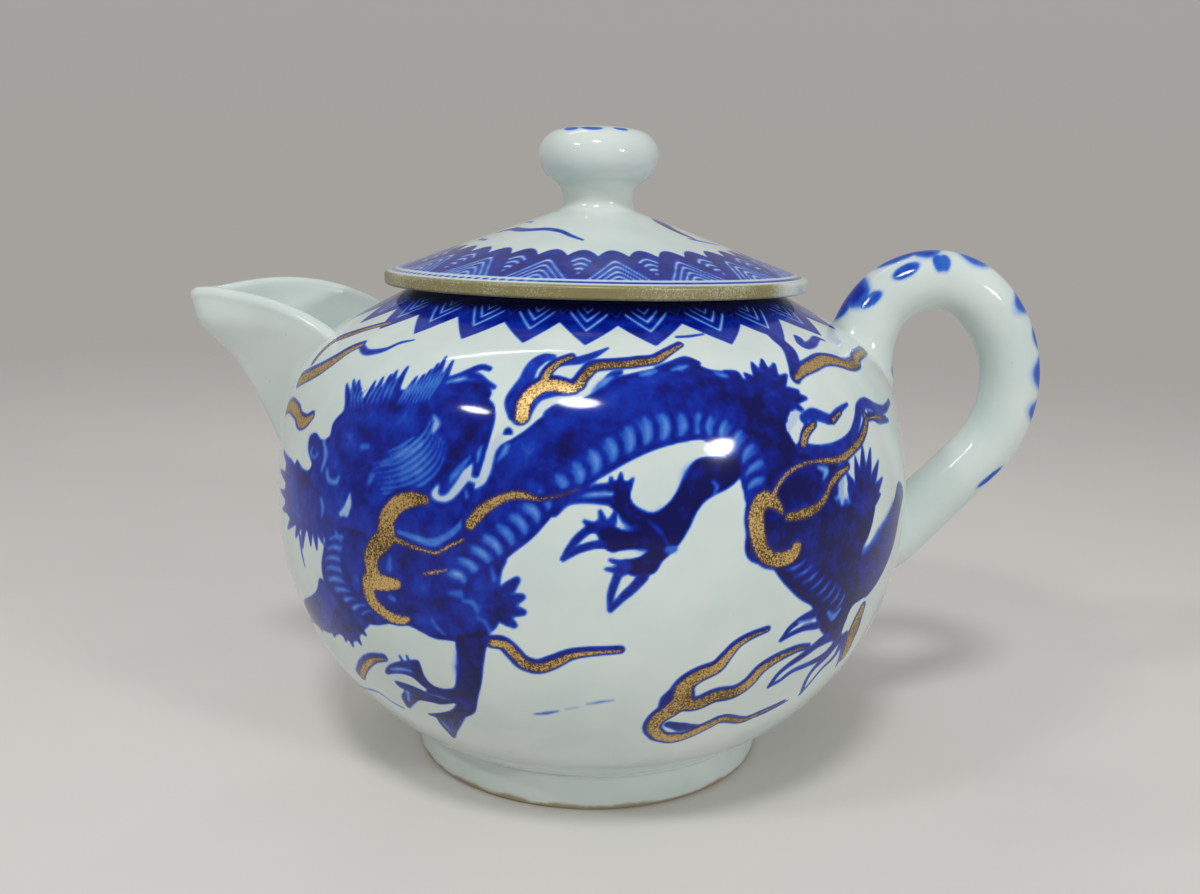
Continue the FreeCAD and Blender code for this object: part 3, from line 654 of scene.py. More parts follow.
# Fine pale hairs between pairs of guide lines, and how many
HAIR_WIDTHS = (0.2, 0.6, 0.2)
HAIR_DEPTH = 0.37
HAIR_EDGE = 0.42 * MM
HAIR = (
    (((351, 408), (352, 396), (354, 386)), ((363, 408), (362, 396), (368, 388)), 4),
    (((366, 404), (371, 394), (376, 387)), ((388, 402), (393, 388), (400, 376)), 5),
    (((398, 404), (405, 392), (411, 384)), ((428, 400), (439, 382), (449, 366)), 9),
    (((388, 452), (402, 446), (414, 437)), ((392, 460), (410, 452), (424, 441)), 3),
    (((372, 464), (392, 459), (408, 449), (423, 435), (431, 420)),
     ((382, 493), (404, 491), (424, 483), (440, 467), (447, 446)), 7),
    (((455, 478), (463, 466), (471, 456)), ((449, 484), (456, 474), (463, 464)), 2),
    (((786, 570), (796, 567), (806, 560)), ((834, 611), (841, 602), (845, 592)), 8),
)
# Two edges of a row of belly plates, and how many it has; then where a plate shines, down and across it
PLATES = (
    (((705, 411), (690, 410), (675, 411), (660, 410), (645, 414), (630, 421), (615, 431), (600, 440),
      (586, 451), (572, 461), (558, 471), (545, 482)),
     ((704, 436), (690, 438), (677, 440), (663, 443), (649, 447), (636, 453), (622, 461), (608, 470),
      (596, 477), (583, 486), (570, 494), (560, 502)), 9),
    (((542, 484), (526, 498), (510, 511), (495, 523), (480, 536), (465, 550), (452, 564), (442, 578)),
     ((556, 506), (544, 521), (530, 535), (515, 548), (502, 558), (488, 567), (474, 578), (462, 592)), 8),
    (((706, 413), (722, 416), (738, 425), (752, 438), (763, 455), (766, 472), (764, 490)),
     ((704, 437), (716, 441), (728, 449), (738, 460), (742, 472), (744, 484), (747, 498)), 6),
    (((346, 532), (344, 550), (343, 566), (346, 582), (356, 596), (368, 604), (380, 612)),
     ((328, 536), (325, 550), (324, 565), (327, 580), (339, 597), (352, 611), (366, 619)), 9),
)
PLATE_SHINE = ((0.12, 0.4), (0.5, 0.22), (0.86, 0.4))
# Places left pale inside the blue: widths, depth, then points
RESERVES = (
    # Between the mane's locks and the body
    ((1.6, 1.5, 1.6, 1.7, 1.5, 0.7), 0.12, (500, 438), (492, 450), (489, 460), (486, 470), (482, 480),
     (476, 487)),
    ((0.5, 1.7, 1.6, 1.5, 1.2, 1.1, 1.4, 0.6), 0.15, (472, 465), (467, 474), (461, 483), (455, 491),
     (449, 497), (441, 499), (435, 494), (438, 486)),
    ((0.8, 1.0, 0.8), 0.16, (468, 478), (474, 480), (480, 480)),
    ((0.3, 0.8, 0.4), 0.36, (482, 446), (479, 453), (478, 461)),
    ((0.3, 0.8, 0.5), 0.45, (468, 459), (459, 468), (450, 478)), ((0.5, 0.7), 0.4, (466, 491), (467, 497)),
    ((0.9, 0.9, 0.3), 0.4, (507, 446), (503, 454), (497, 461)),
    ((0.6, 0.8, 0.4), 0.3, (448, 382), (456, 380), (466, 378)),
    # Face
    ((1.0, 1.3, 0.9), 0.34, (324, 441), (326, 455), (322, 470)),
    ((0.6, 0.6, 0.6), 0.4, (313, 447), (311, 453), (315, 458), (318, 453)),
    ((1.2, 1.4, 0.8), 0.05, (303, 456), (304, 464), (308, 468)),
    ((0.8, 0.9, 0.7), 0.36, (327, 471), (329, 480), (336, 482), (339, 477)),
    ((1.7, 1.5, 0.5), 0.22, (346, 512), (349, 503), (350, 494)), ((1.0, 1.4), 0.25, (341, 514), (346, 510)),
    ((0.7, 1.1, 0.5), 0.38, (321, 498), (323, 508), (322, 517)), ((1.0, 1.0), 0.5, (362, 447), (368, 446)),
    ((1.2, 0.9), 0.5, (372, 476), (369, 483)), ((0.8, 1.3), 0.52, (381, 464), (390, 462)),
    ((0.7, 1.5, 0.6), 0.3, (434, 416), (437, 424), (433, 432)), ((0.7, 0.6), 0.45, (336, 532), (341, 541)),
    # Neck and shoulder
    ((0.9, 1.5, 1.5, 1.2, 0.8), 0.42, (398, 533), (412, 538), (428, 543), (440, 541), (452, 533), (463, 522)),
    ((0.6, 1.2), 0.58, (390, 556), (389, 568)), ((0.8, 1.0, 0.5), 0.48, (464, 601), (473, 603), (477, 611)),
    ((0.7, 1.0, 0.5), 0.52, (478, 618), (486, 623), (490, 632)),
    ((0.6, 0.9, 0.5), 0.5, (432, 620), (438, 628), (444, 634)), ((0.7, 1.5), 0.48, (449, 593), (460, 594)),
    ((0.7, 1.0), 0.5, (492, 568), (494, 579)), ((1.0, 1.0), 0.5, (390, 597), (394, 599)),
    # Left foot
    ((0.7, 1.0, 0.6), 0.28, (391, 669), (401, 669), (411, 671)), ((1.0, 0.8), 0.32, (408, 692), (409, 700)),
    ((0.4, 0.6, 0.4), 0.5, (427, 693), (440, 697), (451, 700)), ((0.7, 0.8), 0.4, (443, 722), (449, 729)),
    # Right foot
    ((0.7, 0.9, 0.5), 0.3, (588, 495), (602, 494), (612, 494)), ((1.4, 1.2), 0.5, (668, 550), (674, 549)),
    ((0.6, 0.9, 0.5), 0.5, (713, 482), (717, 487), (714, 493)),
    ((0.4, 0.5, 0.4), 0.6, (648, 520), (660, 532), (668, 545)),
    # Back
    ((0.6, 1.4, 0.7), 0.35, (592, 391), (602, 383), (612, 377)),
    ((0.6, 1.0, 0.6), 0.36, (640, 375), (649, 373), (656, 371)),
    ((0.5, 1.1, 0.6), 0.36, (671, 370), (680, 368), (687, 366)),
    ((0.5, 1.0, 0.6), 0.4, (715, 373), (722, 375), (727, 376)),
    # Hind quarters
    ((0.8, 2.0, 1.4), 0.16, (788, 430), (792, 420), (796, 413)),
    ((1.2, 1.6, 0.5), 0.3, (819, 466), (826, 471), (823, 479)),
    ((1.2, 1.8, 1.0), 0.24, (842, 478), (841, 490), (842, 503)),
    ((0.8, 2.0, 3.0, 3.0), 0.03, (868, 542), (877, 520), (887, 498), (893, 476)),
    ((0.9, 1.5, 0.8), 0.38, (828, 612), (833, 617), (840, 609)),
    ((0.5, 0.9, 0.6), 0.3, (798, 622), (806, 622), (813, 620)),
    ((0.5, 0.7, 0.4), 0.55, (784, 478), (796, 468), (810, 463)),
)
# Gilded clouds: widths of the gold, how far blue stands out round it, then points
GILT_EDGE = 0.4 * MM
CLOUDS = (
    ((1.6, 2.5, 2.8, 3.0, 3.2, 3.6, 3.3, 3.0, 3.2), 0.7, (425, 500), (415, 499), (405, 501), (397, 505),
     (390, 513), (386, 522), (387, 531), (384, 539), (376, 547), (371, 557), (372, 568), (375, 577)),
    ((1.8, 0.8, 0.5, 0.5), 0.6, (382, 530), (392, 538), (404, 543), (420, 549), (436, 553), (450, 546),
     (463, 540)),
    ((2.6, 2.8, 2.6, 1.6), 0.6, (369, 580), (377, 582), (386, 583), (397, 584)),
    ((2.6, 2.7, 2.4, 2.1, 1.7, 0.9), 0.7, (368, 583), (369, 592), (373, 602), (381, 610), (391, 617),
     (402, 620), (408, 619)),
    ((1.6, 2.0, 1.6, 1.3, 1.2, 0.5, 0.4, 0.3), 0.5, (470, 525), (475, 518), (483, 510), (493, 503),
     (505, 497), (517, 495), (527, 496), (537, 499), (548, 498), (562, 495), (579, 489)),
    ((0.3, 0.6, 0.2), 0.4, (423, 574), (436, 572), (448, 570)),
    ((2.4, 2.3, 2.2, 2.1, 1.3), 0.7, (522, 416), (524, 404), (531, 394), (543, 386), (556, 385), (570, 388),
     (581, 385)),
    ((1.5, 1.3, 0.8), 0.5, (545, 386), (546, 376), (552, 368), (562, 361), (572, 357)),
    ((1.6, 1.7, 1.5, 1.6, 1.3, 0.6), 0.7, (578, 386), (586, 375), (595, 367), (610, 365), (626, 364),
     (642, 362), (656, 360), (669, 352), (681, 345)),
    ((1.0, 1.9, 2.1, 2.2, 2.0, 1.5, 1.2), 0.6, (796, 378), (804, 370), (813, 365), (823, 360), (836, 361),
     (848, 365), (856, 363), (857, 356), (864, 350)),
    ((1.2, 1.3, 0.8), 0.2, (803, 444), (806, 433), (814, 424)),
    ((0.8, 1.2, 1.3, 1.2, 0.8), 0.5, (820, 461), (840, 459), (853, 449), (862, 437), (866, 422), (864, 414)),
    ((0.9, 0.5), 0.2, (833, 420), (840, 412)), ((0.4, 0.6, 0.3), 0.7, (866, 419), (876, 417), (886, 420)),
    ((0.9, 2.2, 2.9, 2.8, 2.9, 2.7, 2.7, 2.5, 2.4, 1.7), 0.6, (782, 512), (776, 504), (769, 500), (763, 501),
     (758, 507), (756, 518), (757, 530), (759, 542), (763, 552), (771, 559), (783, 559), (793, 554),
     (797, 546)),
    ((1.0, 0.7, 0.6, 0.4), 0.4, (773, 500), (777, 487), (786, 475), (797, 467), (811, 462), (824, 461)),
    ((1.3, 1.9, 1.4, 1.0, 1.3, 0.6), 0.5, (788, 517), (802, 514), (816, 508), (825, 498), (830, 486),
     (838, 475), (848, 467)),
    ((1.8, 2.4, 2.9, 3.7, 3.0, 2.4, 1.6, 0.8, 0.3), 0.7, (678, 737), (662, 737), (653, 729), (658, 719),
     (671, 710), (682, 700), (683, 690), (690, 682), (701, 675), (717, 668), (727, 657), (738, 645),
     (753, 636), (768, 630)),
    ((2.6, 2.6, 2.3, 1.8, 1.1, 0.3), 0.7, (680, 704), (697, 704), (716, 696), (733, 693), (748, 684),
     (761, 670), (777, 659), (796, 650), (808, 647)),
    ((2.0, 2.1, 2.0, 1.4, 0.8, 0.3), 0.6, (657, 736), (673, 739), (690, 734), (707, 726), (723, 719),
     (743, 720), (760, 713), (783, 702)),
    ((1.2, 1.7, 1.8, 1.6, 0.9, 0.4), 0.9, (492, 643), (505, 645), (515, 654), (525, 664), (540, 668),
     (556, 663), (572, 656), (592, 653), (622, 651)),
    ((1.4, 1.3, 0.5), 0.9, (362, 676), (366, 666), (374, 660), (386, 659)),
    ((2.2, 3.8, 1.6), 0.3, (844, 655), (850, 640), (856, 623), (862, 608)),
    ((2.2, 2.3, 1.7, 0.9), 0.8, (300, 381), (318, 371), (334, 361), (349, 351), (362, 345)),
    ((0.8, 1.2, 1.5, 0.8), 0.7, (314, 362), (324, 350), (337, 340), (352, 334), (371, 328), (390, 323)),
    ((2.0, 2.2, 2.3, 0.8), 0.5, (284, 410), (291, 406), (297, 412), (300, 421), (306, 422), (313, 416)),
)
# Angles in degrees at which the collar's points are numbered, uneven as drawn by hand
COLLAR_TIPS = (-180.0, -129.6, -117.0, -103.7, -91.6, -77.8, -61.5, -47.0, 0.0)
COLLAR_COUNT = (-7, -3, -2, -1, 0, 1, 2, 3, 6)
# White chevrons of each point: millimetres over its tip, and how far they reach to the sides
COLLAR_CHEVRONS = ((4.0, 0.38), (6.6, 0.25), (9.0, 0.13))
# White lines of each arch on the lid, in millimetres over its foot
LID_LEVELS = (7.4, 5.2, 3.1, 1.2)
# Streaks on the lid: widths, depth, then points; and gilding: widths, then points
LID_LINES = (
    ((1.6, 1.7, 1.4, 1.2, 0.6), 0.8, (498, 231), (512, 229), (525, 230), (545, 229), (560, 231), (572, 236),
     (583, 240)),
    ((0.8, 0.6), 0.6, (526, 222), (533, 222)), ((1.0, 0.8), 0.6, (480, 239), (486, 240)),
    ((3.0, 5.0, 4.4, 2.4), 0.7, (657, 220), (666, 226), (678, 232), (690, 237)),
    ((1.2, 1.0, 0.6), 0.5, (690, 239), (704, 242), (718, 245)),
)
LID_GILT = (
    ((1.8, 3.0, 1.4), (665, 225), (677, 231), (694, 239)),
)
# Dabs along the handle: middle, a point towards its end, its width and how deep it is
HANDLE_DABS = (
    ((860, 297), (876, 288), 3.2, 0.74), ((871, 300), (880, 293), 2.6, 0.6),
    ((846, 307), (857, 299), 2.4, 0.7), ((907, 271), (918, 265), 3.0, 0.62),
    ((900, 258), (922, 252), 2.6, 0.66), ((938, 261), (939, 270), 2.4, 0.52),
    ((945, 261), (946, 270), 2.6, 0.46), ((928, 253), (940, 251), 3.0, 0.66),
    ((976, 262), (990, 271), 3.0, 0.52), ((1020, 305), (1026, 315), 3.6, 0.56),
    ((1036, 338), (1038, 351), 3.6, 0.74), ((1038, 374), (1038, 390), 3.4, 0.76),
    ((1032, 410), (1027, 422), 2.4, 0.62), ((990, 477), (978, 487), 1.8, 0.62),
    ((893, 372), (893, 380), 2.0, 0.8),
)
# Dabs round the knob: angle in degrees, distance from its middle, half length and half width in millimetres
KNOB_DABS = (
    (-100, 8.2, 2.4, 0.9), (-62, 8.2, 1.6, 0.8), (-128, 8.3, 2.0, 0.9), (-160, 7.4, 2.2, 1.0),
    (-20, 7.2, 2.2, 0.9), (40, 6.8, 2.6, 1.0), (95, 7.2, 2.2, 0.9), (150, 6.6, 2.0, 1.0),
    (-80, 3.0, 1.8, 1.0), (60, 2.6, 1.8, 1.0),
)
KNOB_DEPTH = 0.56
# The film of painted glaze: its thickness, the margin in which it thins out, the radius over the foot at
# which it starts, how far down the collar reaches, and the angle at which the front panels join
GLAZE_FILM = 0.04 * MM
GLAZE_MARGIN = 3.0 * MM
GLAZE_FOOT = 34.6 * MM
GLAZE_COLLAR = 13.5 * MM
GLAZE_JOIN = -90.0
# Its panels: first and last angle in degrees, columns, rows, and whether it is the collar over a root
GLAZE_PANELS = (
    ("glaze_front_left", -171.0, GLAZE_JOIN, 258, 330, False),
    ("glaze_front_right", GLAZE_JOIN, -8.0, 262, 330, False),
    ("glaze_back", 8.0, 171.0, 300, 190, False),
    ("glaze_over_spout", 165.0, 195.0, 96, 70, True),
    ("glaze_over_handle", -14.0, 14.0, 90, 70, True),
)


def mixed(first, last, share):
    """Return a line of spots part of the way between two others."""
    return first + (last - first) * share


def paint_collar(canvas):
    """Paint the ring of overlapping points with white chevrons round the shoulder, with painted shade under
    the lid.
    """
    tip_radius, fall = 45.6 * MM, math.radians(28.0)
    notch, slope, waver = 5.9 * MM, 14.4 * MM, 0.3
    # Blue's depth, painted shade higher up and under the lid, darkening at the edge, and depth of the lines
    body, shade_towards_lid, seat, edging = 0.76, 0.1, 0.42, 0.1
    pale, faint = 0.16, 0.5
    tip = canvas.skin.length[-1] - (tip_radius - canvas.skin.radius[-1]) / math.cos(fall)
    turn = np.interp(np.degrees(canvas.across / canvas.girth), COLLAR_TIPS, COLLAR_COUNT)[None, :]
    side = np.abs(turn - np.round(turn))
    rise = canvas.along[:, None] - tip + waver * np.sin(3.1 * turn) * MM
    within = rise - 2 * notch * side
    ink = canvas.layers["ink"]
    blue = ease(0.5 + within / EDGE)
    # Painted shade: the blue darkens up the collar, and most of all under the lid's overhang
    depth = body + shade_towards_lid * ease(rise / (9 * MM)) + seat * ease((rise - 7 * MM) / (3.5 * MM))
    ink += (depth - ink) * blue
    ink += edging * blue * np.clip(1.1 * np.exp(-((within / (0.5 * MM)) ** 2)), 0, 1)
    chevron = rise - slope * side
    for start, reach in COLLAR_CHEVRONS:
        line = ease(1.05 - np.abs(chevron - start * MM) / (0.72 * MM)) * ease((reach - side) / 0.04)
        ink += (pale - ink) * line
    behind = rise - notch - slope * (0.5 - side)
    line = ease(0.9 - np.abs(behind - 2.4 * MM) / (0.5 * MM)) * ease((side - 0.36) / 0.03)
    ink += (faint - ink) * line


def paint_dragon(canvas):
    """Paint the dragon: washes and pools first, then dark strokes, pale plates, hairs and reserves."""
    for depth, *pixels in WASHES:
        canvas.wash(canvas.spots(pixels), depth, WASH_POOL)
    for width, depth, *pixels in POOLS:
        canvas.brush(canvas.spots(pixels), (width * 0.5, width, width * 0.5), depth, edge=POOL_EDGE)
    for widths, root, *tips in TUFTS:
        for tip in tips:
            root_spot, tip_spot = canvas.spots((root, tip))
            leaf = (root_spot, mixed(root_spot, tip_spot, 0.6), tip_spot)
            canvas.brush(leaf, widths, TUFT_DEPTH)
    for pixels in MANE_TIPS:
        canvas.brush(canvas.spots(pixels), MANE_WIDTHS, MANE_DEPTH)
    for widths, depth, *pixels in STROKES:
        canvas.brush(canvas.spots(pixels), widths, depth)
    for inner, outer, count in PLATES:
        paint_plates(canvas, smooth_path(canvas.spots(inner)), smooth_path(canvas.spots(outer)), count)
    for first, last, count in HAIR:
        first, last = canvas.spots(first), canvas.spots(last)
        for share in np.linspace(0.0, 1.0, count):
            canvas.brush(mixed(first, last, share), HAIR_WIDTHS, HAIR_DEPTH, edge=HAIR_EDGE)
    for widths, depth, *pixels in RESERVES:
        canvas.brush(canvas.spots(pixels), widths, depth)


def paint_plates(canvas, inner, outer, count):
    """Paint a row of belly plates between two edges, each pale at one side and dark at its joint."""
    wash, pool, pale, dark, hem = 0.52, 0.28, 0.35, 0.87, 0.86
    canvas.wash(np.concatenate((inner, outer[::-1]))[::3], wash, pool)
    pitch = np.linalg.norm(np.diff(outer, axis=0), axis=1).sum() / count
    width = pitch / MM
    for place in np.arange(count + 1) / count:
        index = place * (len(inner) - 1)
        low = min(int(index), len(inner) - 2)
        top = mixed(inner[low], inner[low + 1], index - low)
        foot = mixed(outer[low], outer[low + 1], index - low)
        along = (outer[low + 1] - outer[low]) / np.linalg.norm(outer[low + 1] - outer[low])
        upper = mixed(top, foot, 0.35) - along * pitch * 0.22
        lower = mixed(top, foot, 0.7) - along * pitch * 0.24
        if place < 1.0:
            shine = [mixed(top, foot, share) + along * pitch * shift for share, shift in PLATE_SHINE]
            canvas.brush(shine, (0.16 * width, 0.44 * width, 0.18 * width), pale, edge=0.9 * MM)
        canvas.brush((top, upper, lower, foot), (0.6, 0.9, 0.7), dark)
    canvas.brush(outer, (0.6, 0.7, 0.6), hem)


def paint_clouds(canvas):
    """Paint gilded clouds, each on a blue edge that is wider above and to the left."""
    shift = np.array((-0.3 * MM, 0.3 * MM))
    for widths, edging, *pixels in CLOUDS:
        wider = [width + 0.5 + 0.6 * edging for width in widths]
        canvas.brush(canvas.spots(pixels) + shift * edging, wider, 0.87)
    for widths, _, *pixels in CLOUDS:
        canvas.brush(canvas.spots(pixels), widths, 1.0, layer="gilt", edge=GILT_EDGE)


def paint_bowl(skin):
    """Return the bowl's front half with its painting."""
    canvas = Canvas(skin, -math.pi, 0.0)
    paint_dragon(canvas)
    paint_collar(canvas)
    paint_clouds(canvas)
    return canvas


def paint_lid(skin, brow):
    """Return the lid with its arch band, its beaded line, its streaks and a little gilding."""
    canvas = Canvas(skin, -math.pi, math.pi)
    count, middle, base = 17, math.radians(-83.9), 2.5 * MM
    height, bend, soft = 12.3 * MM, 0.098 * MM, 2.5
    body, edging, pale = 0.86, 0.12, 0.18
    beads, joint = 150, math.radians(210)
    angles = canvas.across[None, :] / canvas.girth
    rise = canvas.along[:, None] - brow - base
    ink = canvas.layers["ink"]
    # The arches behind come first, half a step on, with flatter lines that lie higher
    for offset in (0.5, 0.0):
        turn = (angles - middle) * count / TURN + offset
        side = np.abs(turn - np.round(turn)) * 360.0 / count
        crown = height - rise - bend * side ** 2
        inside = ease(0.5 + crown / EDGE) * ease(0.5 + rise / EDGE)
        ink += (body - ink) * inside
        ink += edging * inside * np.exp(-((crown / (0.7 * MM)) ** 2))
        bow = (1.2 - 0.8 * offset) * MM * (np.sqrt(side ** 2 + soft) - math.sqrt(soft))
        for level in LID_LEVELS:
            line = ease(1.15 - np.abs(rise + bow - (level + 2.4 * offset) * MM) / (0.8 * MM)) * inside
            line = line * ease((crown - 1.6 * MM) / (0.6 * MM))
            ink += (pale - ink) * line
    # A row of beads under the band, which run together on two sides
    joined = ease(0.5 + 0.8 * np.sin(2.0 * angles + joint))
    bead = np.maximum(0.5 + 0.5 * np.cos(angles * beads), joined)
    line = ease(1.1 - np.abs(rise + base - 1.2 * MM) / (0.5 * MM))
    ink += (0.1 + 0.88 * bead - ink) * line
    for widths, depth, *pixels in LID_LINES:
        canvas.brush(canvas.spots(pixels), widths, depth)
    for widths, *pixels in LID_GILT:
        canvas.brush(canvas.spots(pixels), widths, 0.8, layer="gilt")
    return canvas


# Meshes


def mesh_points(mesh):
    """Return a mesh's points as an array."""
    return np.array([vert.co.to_tuple() for vert in mesh.verts])


def sheet(columns, rows, place, closed=False):
    """Return a grid with its points moved to place(across, along), each from 0 to 1, and maybe closed up."""
    mesh = bmesh.new()
    bmesh.ops.create_grid(mesh, x_segments=columns, y_segments=rows, size=0.5)
    flat = mesh_points(mesh)
    for vert, spot in zip(mesh.verts, place(flat[:, 0] + 0.5, flat[:, 1] + 0.5)):
        vert.co = spot
    if closed:
        bmesh.ops.remove_doubles(mesh, verts=mesh.verts, dist=MERGE)
        bmesh.ops.holes_fill(mesh, edges=[edge for edge in mesh.edges if edge.is_boundary])
        bmesh.ops.recalc_face_normals(mesh, faces=mesh.faces)
    return mesh


def crossing(low, high, passed):
    """Return, by halving, the last places from low towards high at which a test doesn't pass yet."""
    for _ in range(HALVINGS):
        half = (low + high) / 2
        over = passed(half)
        low, high = np.where(over, low, half), np.where(over, half, high)
    return low


def add_piece(name, mesh, material, body, nodes=(), layers=None):
    """Make a finished piece of a mesh, hang it on the body that carries it, and hide the parts it stands in
    for.
    """
    data = bpy.data.meshes.new(name)
    mesh.to_mesh(data)
    mesh.free()
    data.shade_smooth()
    data.set_sharp_from_angle(angle=SHARP_ANGLE)
    data.materials.append(material)
    for layer, values in (layers or {}).items():
        data.attributes.new(layer, "FLOAT", "POINT").data.foreach_set("value", values.astype(np.float32))
    piece = bpy.data.objects.new(name, data)
    bpy.context.scene.collection.objects.link(piece)
    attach(piece, body)
    if nodes:
        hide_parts(*nodes)
    return piece


def lower_arc(sizes):
    """Return the centre and radius of the bowl's lower arc."""
    reach = sizes.belly_radius - sizes.foot_inner
    drop = sizes.belly_height - sizes.floor_rise
    radius = (reach ** 2 + drop ** 2) / (2 * reach)
    return point(sizes.belly_radius - radius, sizes.belly_height), radius


def draw_wall(outline, sizes, inset, start_turn, fine):
    """Draw the bowl's wall up from its lower arc to the mouth, in more steps where it is finer."""
    centre, _ = lower_arc(sizes)
    outline.arc(centre, -start_turn, 48 * fine)
    upper = point(sizes.belly_radius - sizes.upper_radius, sizes.belly_height)
    outline.arc(upper, sizes.upper_angle, 18 * fine)
    shoulder = turned_point(upper, sizes.upper_radius - sizes.shoulder_radius, sizes.upper_angle)
    outline.arc(shoulder, sizes.shoulder_angle - sizes.upper_angle, 16 * fine)
    end = turned_point(shoulder, sizes.shoulder_radius - inset, sizes.shoulder_angle)
    slope = math.tan(math.pi / 2 - sizes.shoulder_angle)
    mouth = point(sizes.mouth_outer, end.z + (end.x - sizes.mouth_outer) * slope)
    outline.line(mouth, 10 * fine)


def bowl_outside(sizes):
    """Return the outside of the bowl as a round skin, from its floor to its mouth."""
    centre, radius = lower_arc(sizes)
    start = math.asin((sizes.floor_rise - centre.z) / radius)
    outline = Outline(turned_point(centre, radius, start))
    draw_wall(outline, sizes, 0.0, start, 4)
    points = outline.points()
    outline.mesh.free()
    return RoundSkin(points)


def applied(piece, kind, **settings):
    """Put a modifier on a piece and apply it to the piece's mesh."""
    modifier = piece.modifiers.new(kind.lower(), kind)
    for name, value in settings.items():
        setattr(modifier, name, value)
    graph = bpy.context.evaluated_depsgraph_get()
    data = bpy.data.meshes.new_from_object(piece.evaluated_get(graph))
    piece.modifiers.clear()
    old = piece.data
    piece.data = data
    bpy.data.meshes.remove(old)


# Materials


def add_node(tree, kind, links=None, **settings):
    """Add a shader node with its settings, and set or link its sockets by name or number."""
    made = tree.nodes.new("ShaderNode" + kind)
    for name, value in settings.items():
        setattr(made, name, value)
    for name, value in (links or {}).items():
        if isinstance(value, bpy.types.NodeSocket):
            tree.links.new(value, made.inputs[name])
        else:
            made.inputs[name].default_value = value
    return made


def set_ramp(ramp, stops):
    """Set a colour ramp's stops."""
    elements = ramp.color_ramp.elements
    while len(elements) < len(stops):
        elements.new(0.5)
    for element, (place, shade) in zip(elements, stops):
        element.position = place
        element.color = tuple(shade)


def new_material(name):
    """Return a new material and its empty tree."""
    material = bpy.data.materials.new(name)
    material.use_nodes = True
    material.node_tree.nodes.clear()
    return material, material.node_tree


def glaze_sockets(tree, colours):
    """Return the place, the colour and the normal of a clear glaze that lies a little unevenly."""
    place = add_node(tree, "TexCoord").outputs["Object"]
    # Thicker and thinner glaze in clouds about 14 mm across
    cloud = add_node(tree, "TexNoise", {"Vector": place, "Scale": 1 / (14 * MM), "Detail": 3.0})
    tint = add_node(tree, "ValToRGB", {"Fac": cloud.outputs["Fac"]})
    set_ramp(tint, ((0.35, colours.glaze), (0.68, colours.glaze_pool)))
    # Iron specks in the clay, one about every 7 mm
    specks = add_node(tree, "TexVoronoi", {"Vector": place, "Scale": 1 / (7 * MM)}).outputs["Distance"]
    near = add_node(
        tree, "MapRange", {"Value": specks, "From Min": 0.02, "From Max": 0.05, "To Min": 0.25, "To Max": 0.0}
    ).outputs["Result"]
    body = add_node(tree, "Mix", {"Factor": near, "A": tint.outputs["Color"], "B": SPECK}, data_type="RGBA")
    # Ripples of the fired glaze, about 9 mm apart and a few microns deep
    ripple = add_node(tree, "TexNoise", {"Vector": place, "Scale": 1 / (9 * MM), "Detail": 1.0})
    bump = add_node(tree, "Bump", {"Height": ripple.outputs["Fac"], "Strength": 0.25, "Distance": 0.15 * MM})
    return place, body.outputs["Result"], bump.outputs["Normal"]


def plain_porcelain(colours):
    """White porcelain under a clear glaze, dipped and fired glossy: wet highlights, faint green pools."""
    material, tree = new_material("glazed_porcelain")
    _, body, normal = glaze_sockets(tree, colours)
    shader = add_node(
        tree, "BsdfPrincipled",
        {"Base Color": body, "Normal": normal, "Roughness": GLAZE_ROUGHNESS, "IOR": GLAZE_IOR},
    )
    add_node(tree, "OutputMaterial", {"Surface": shader.outputs["BSDF"]})
    return material


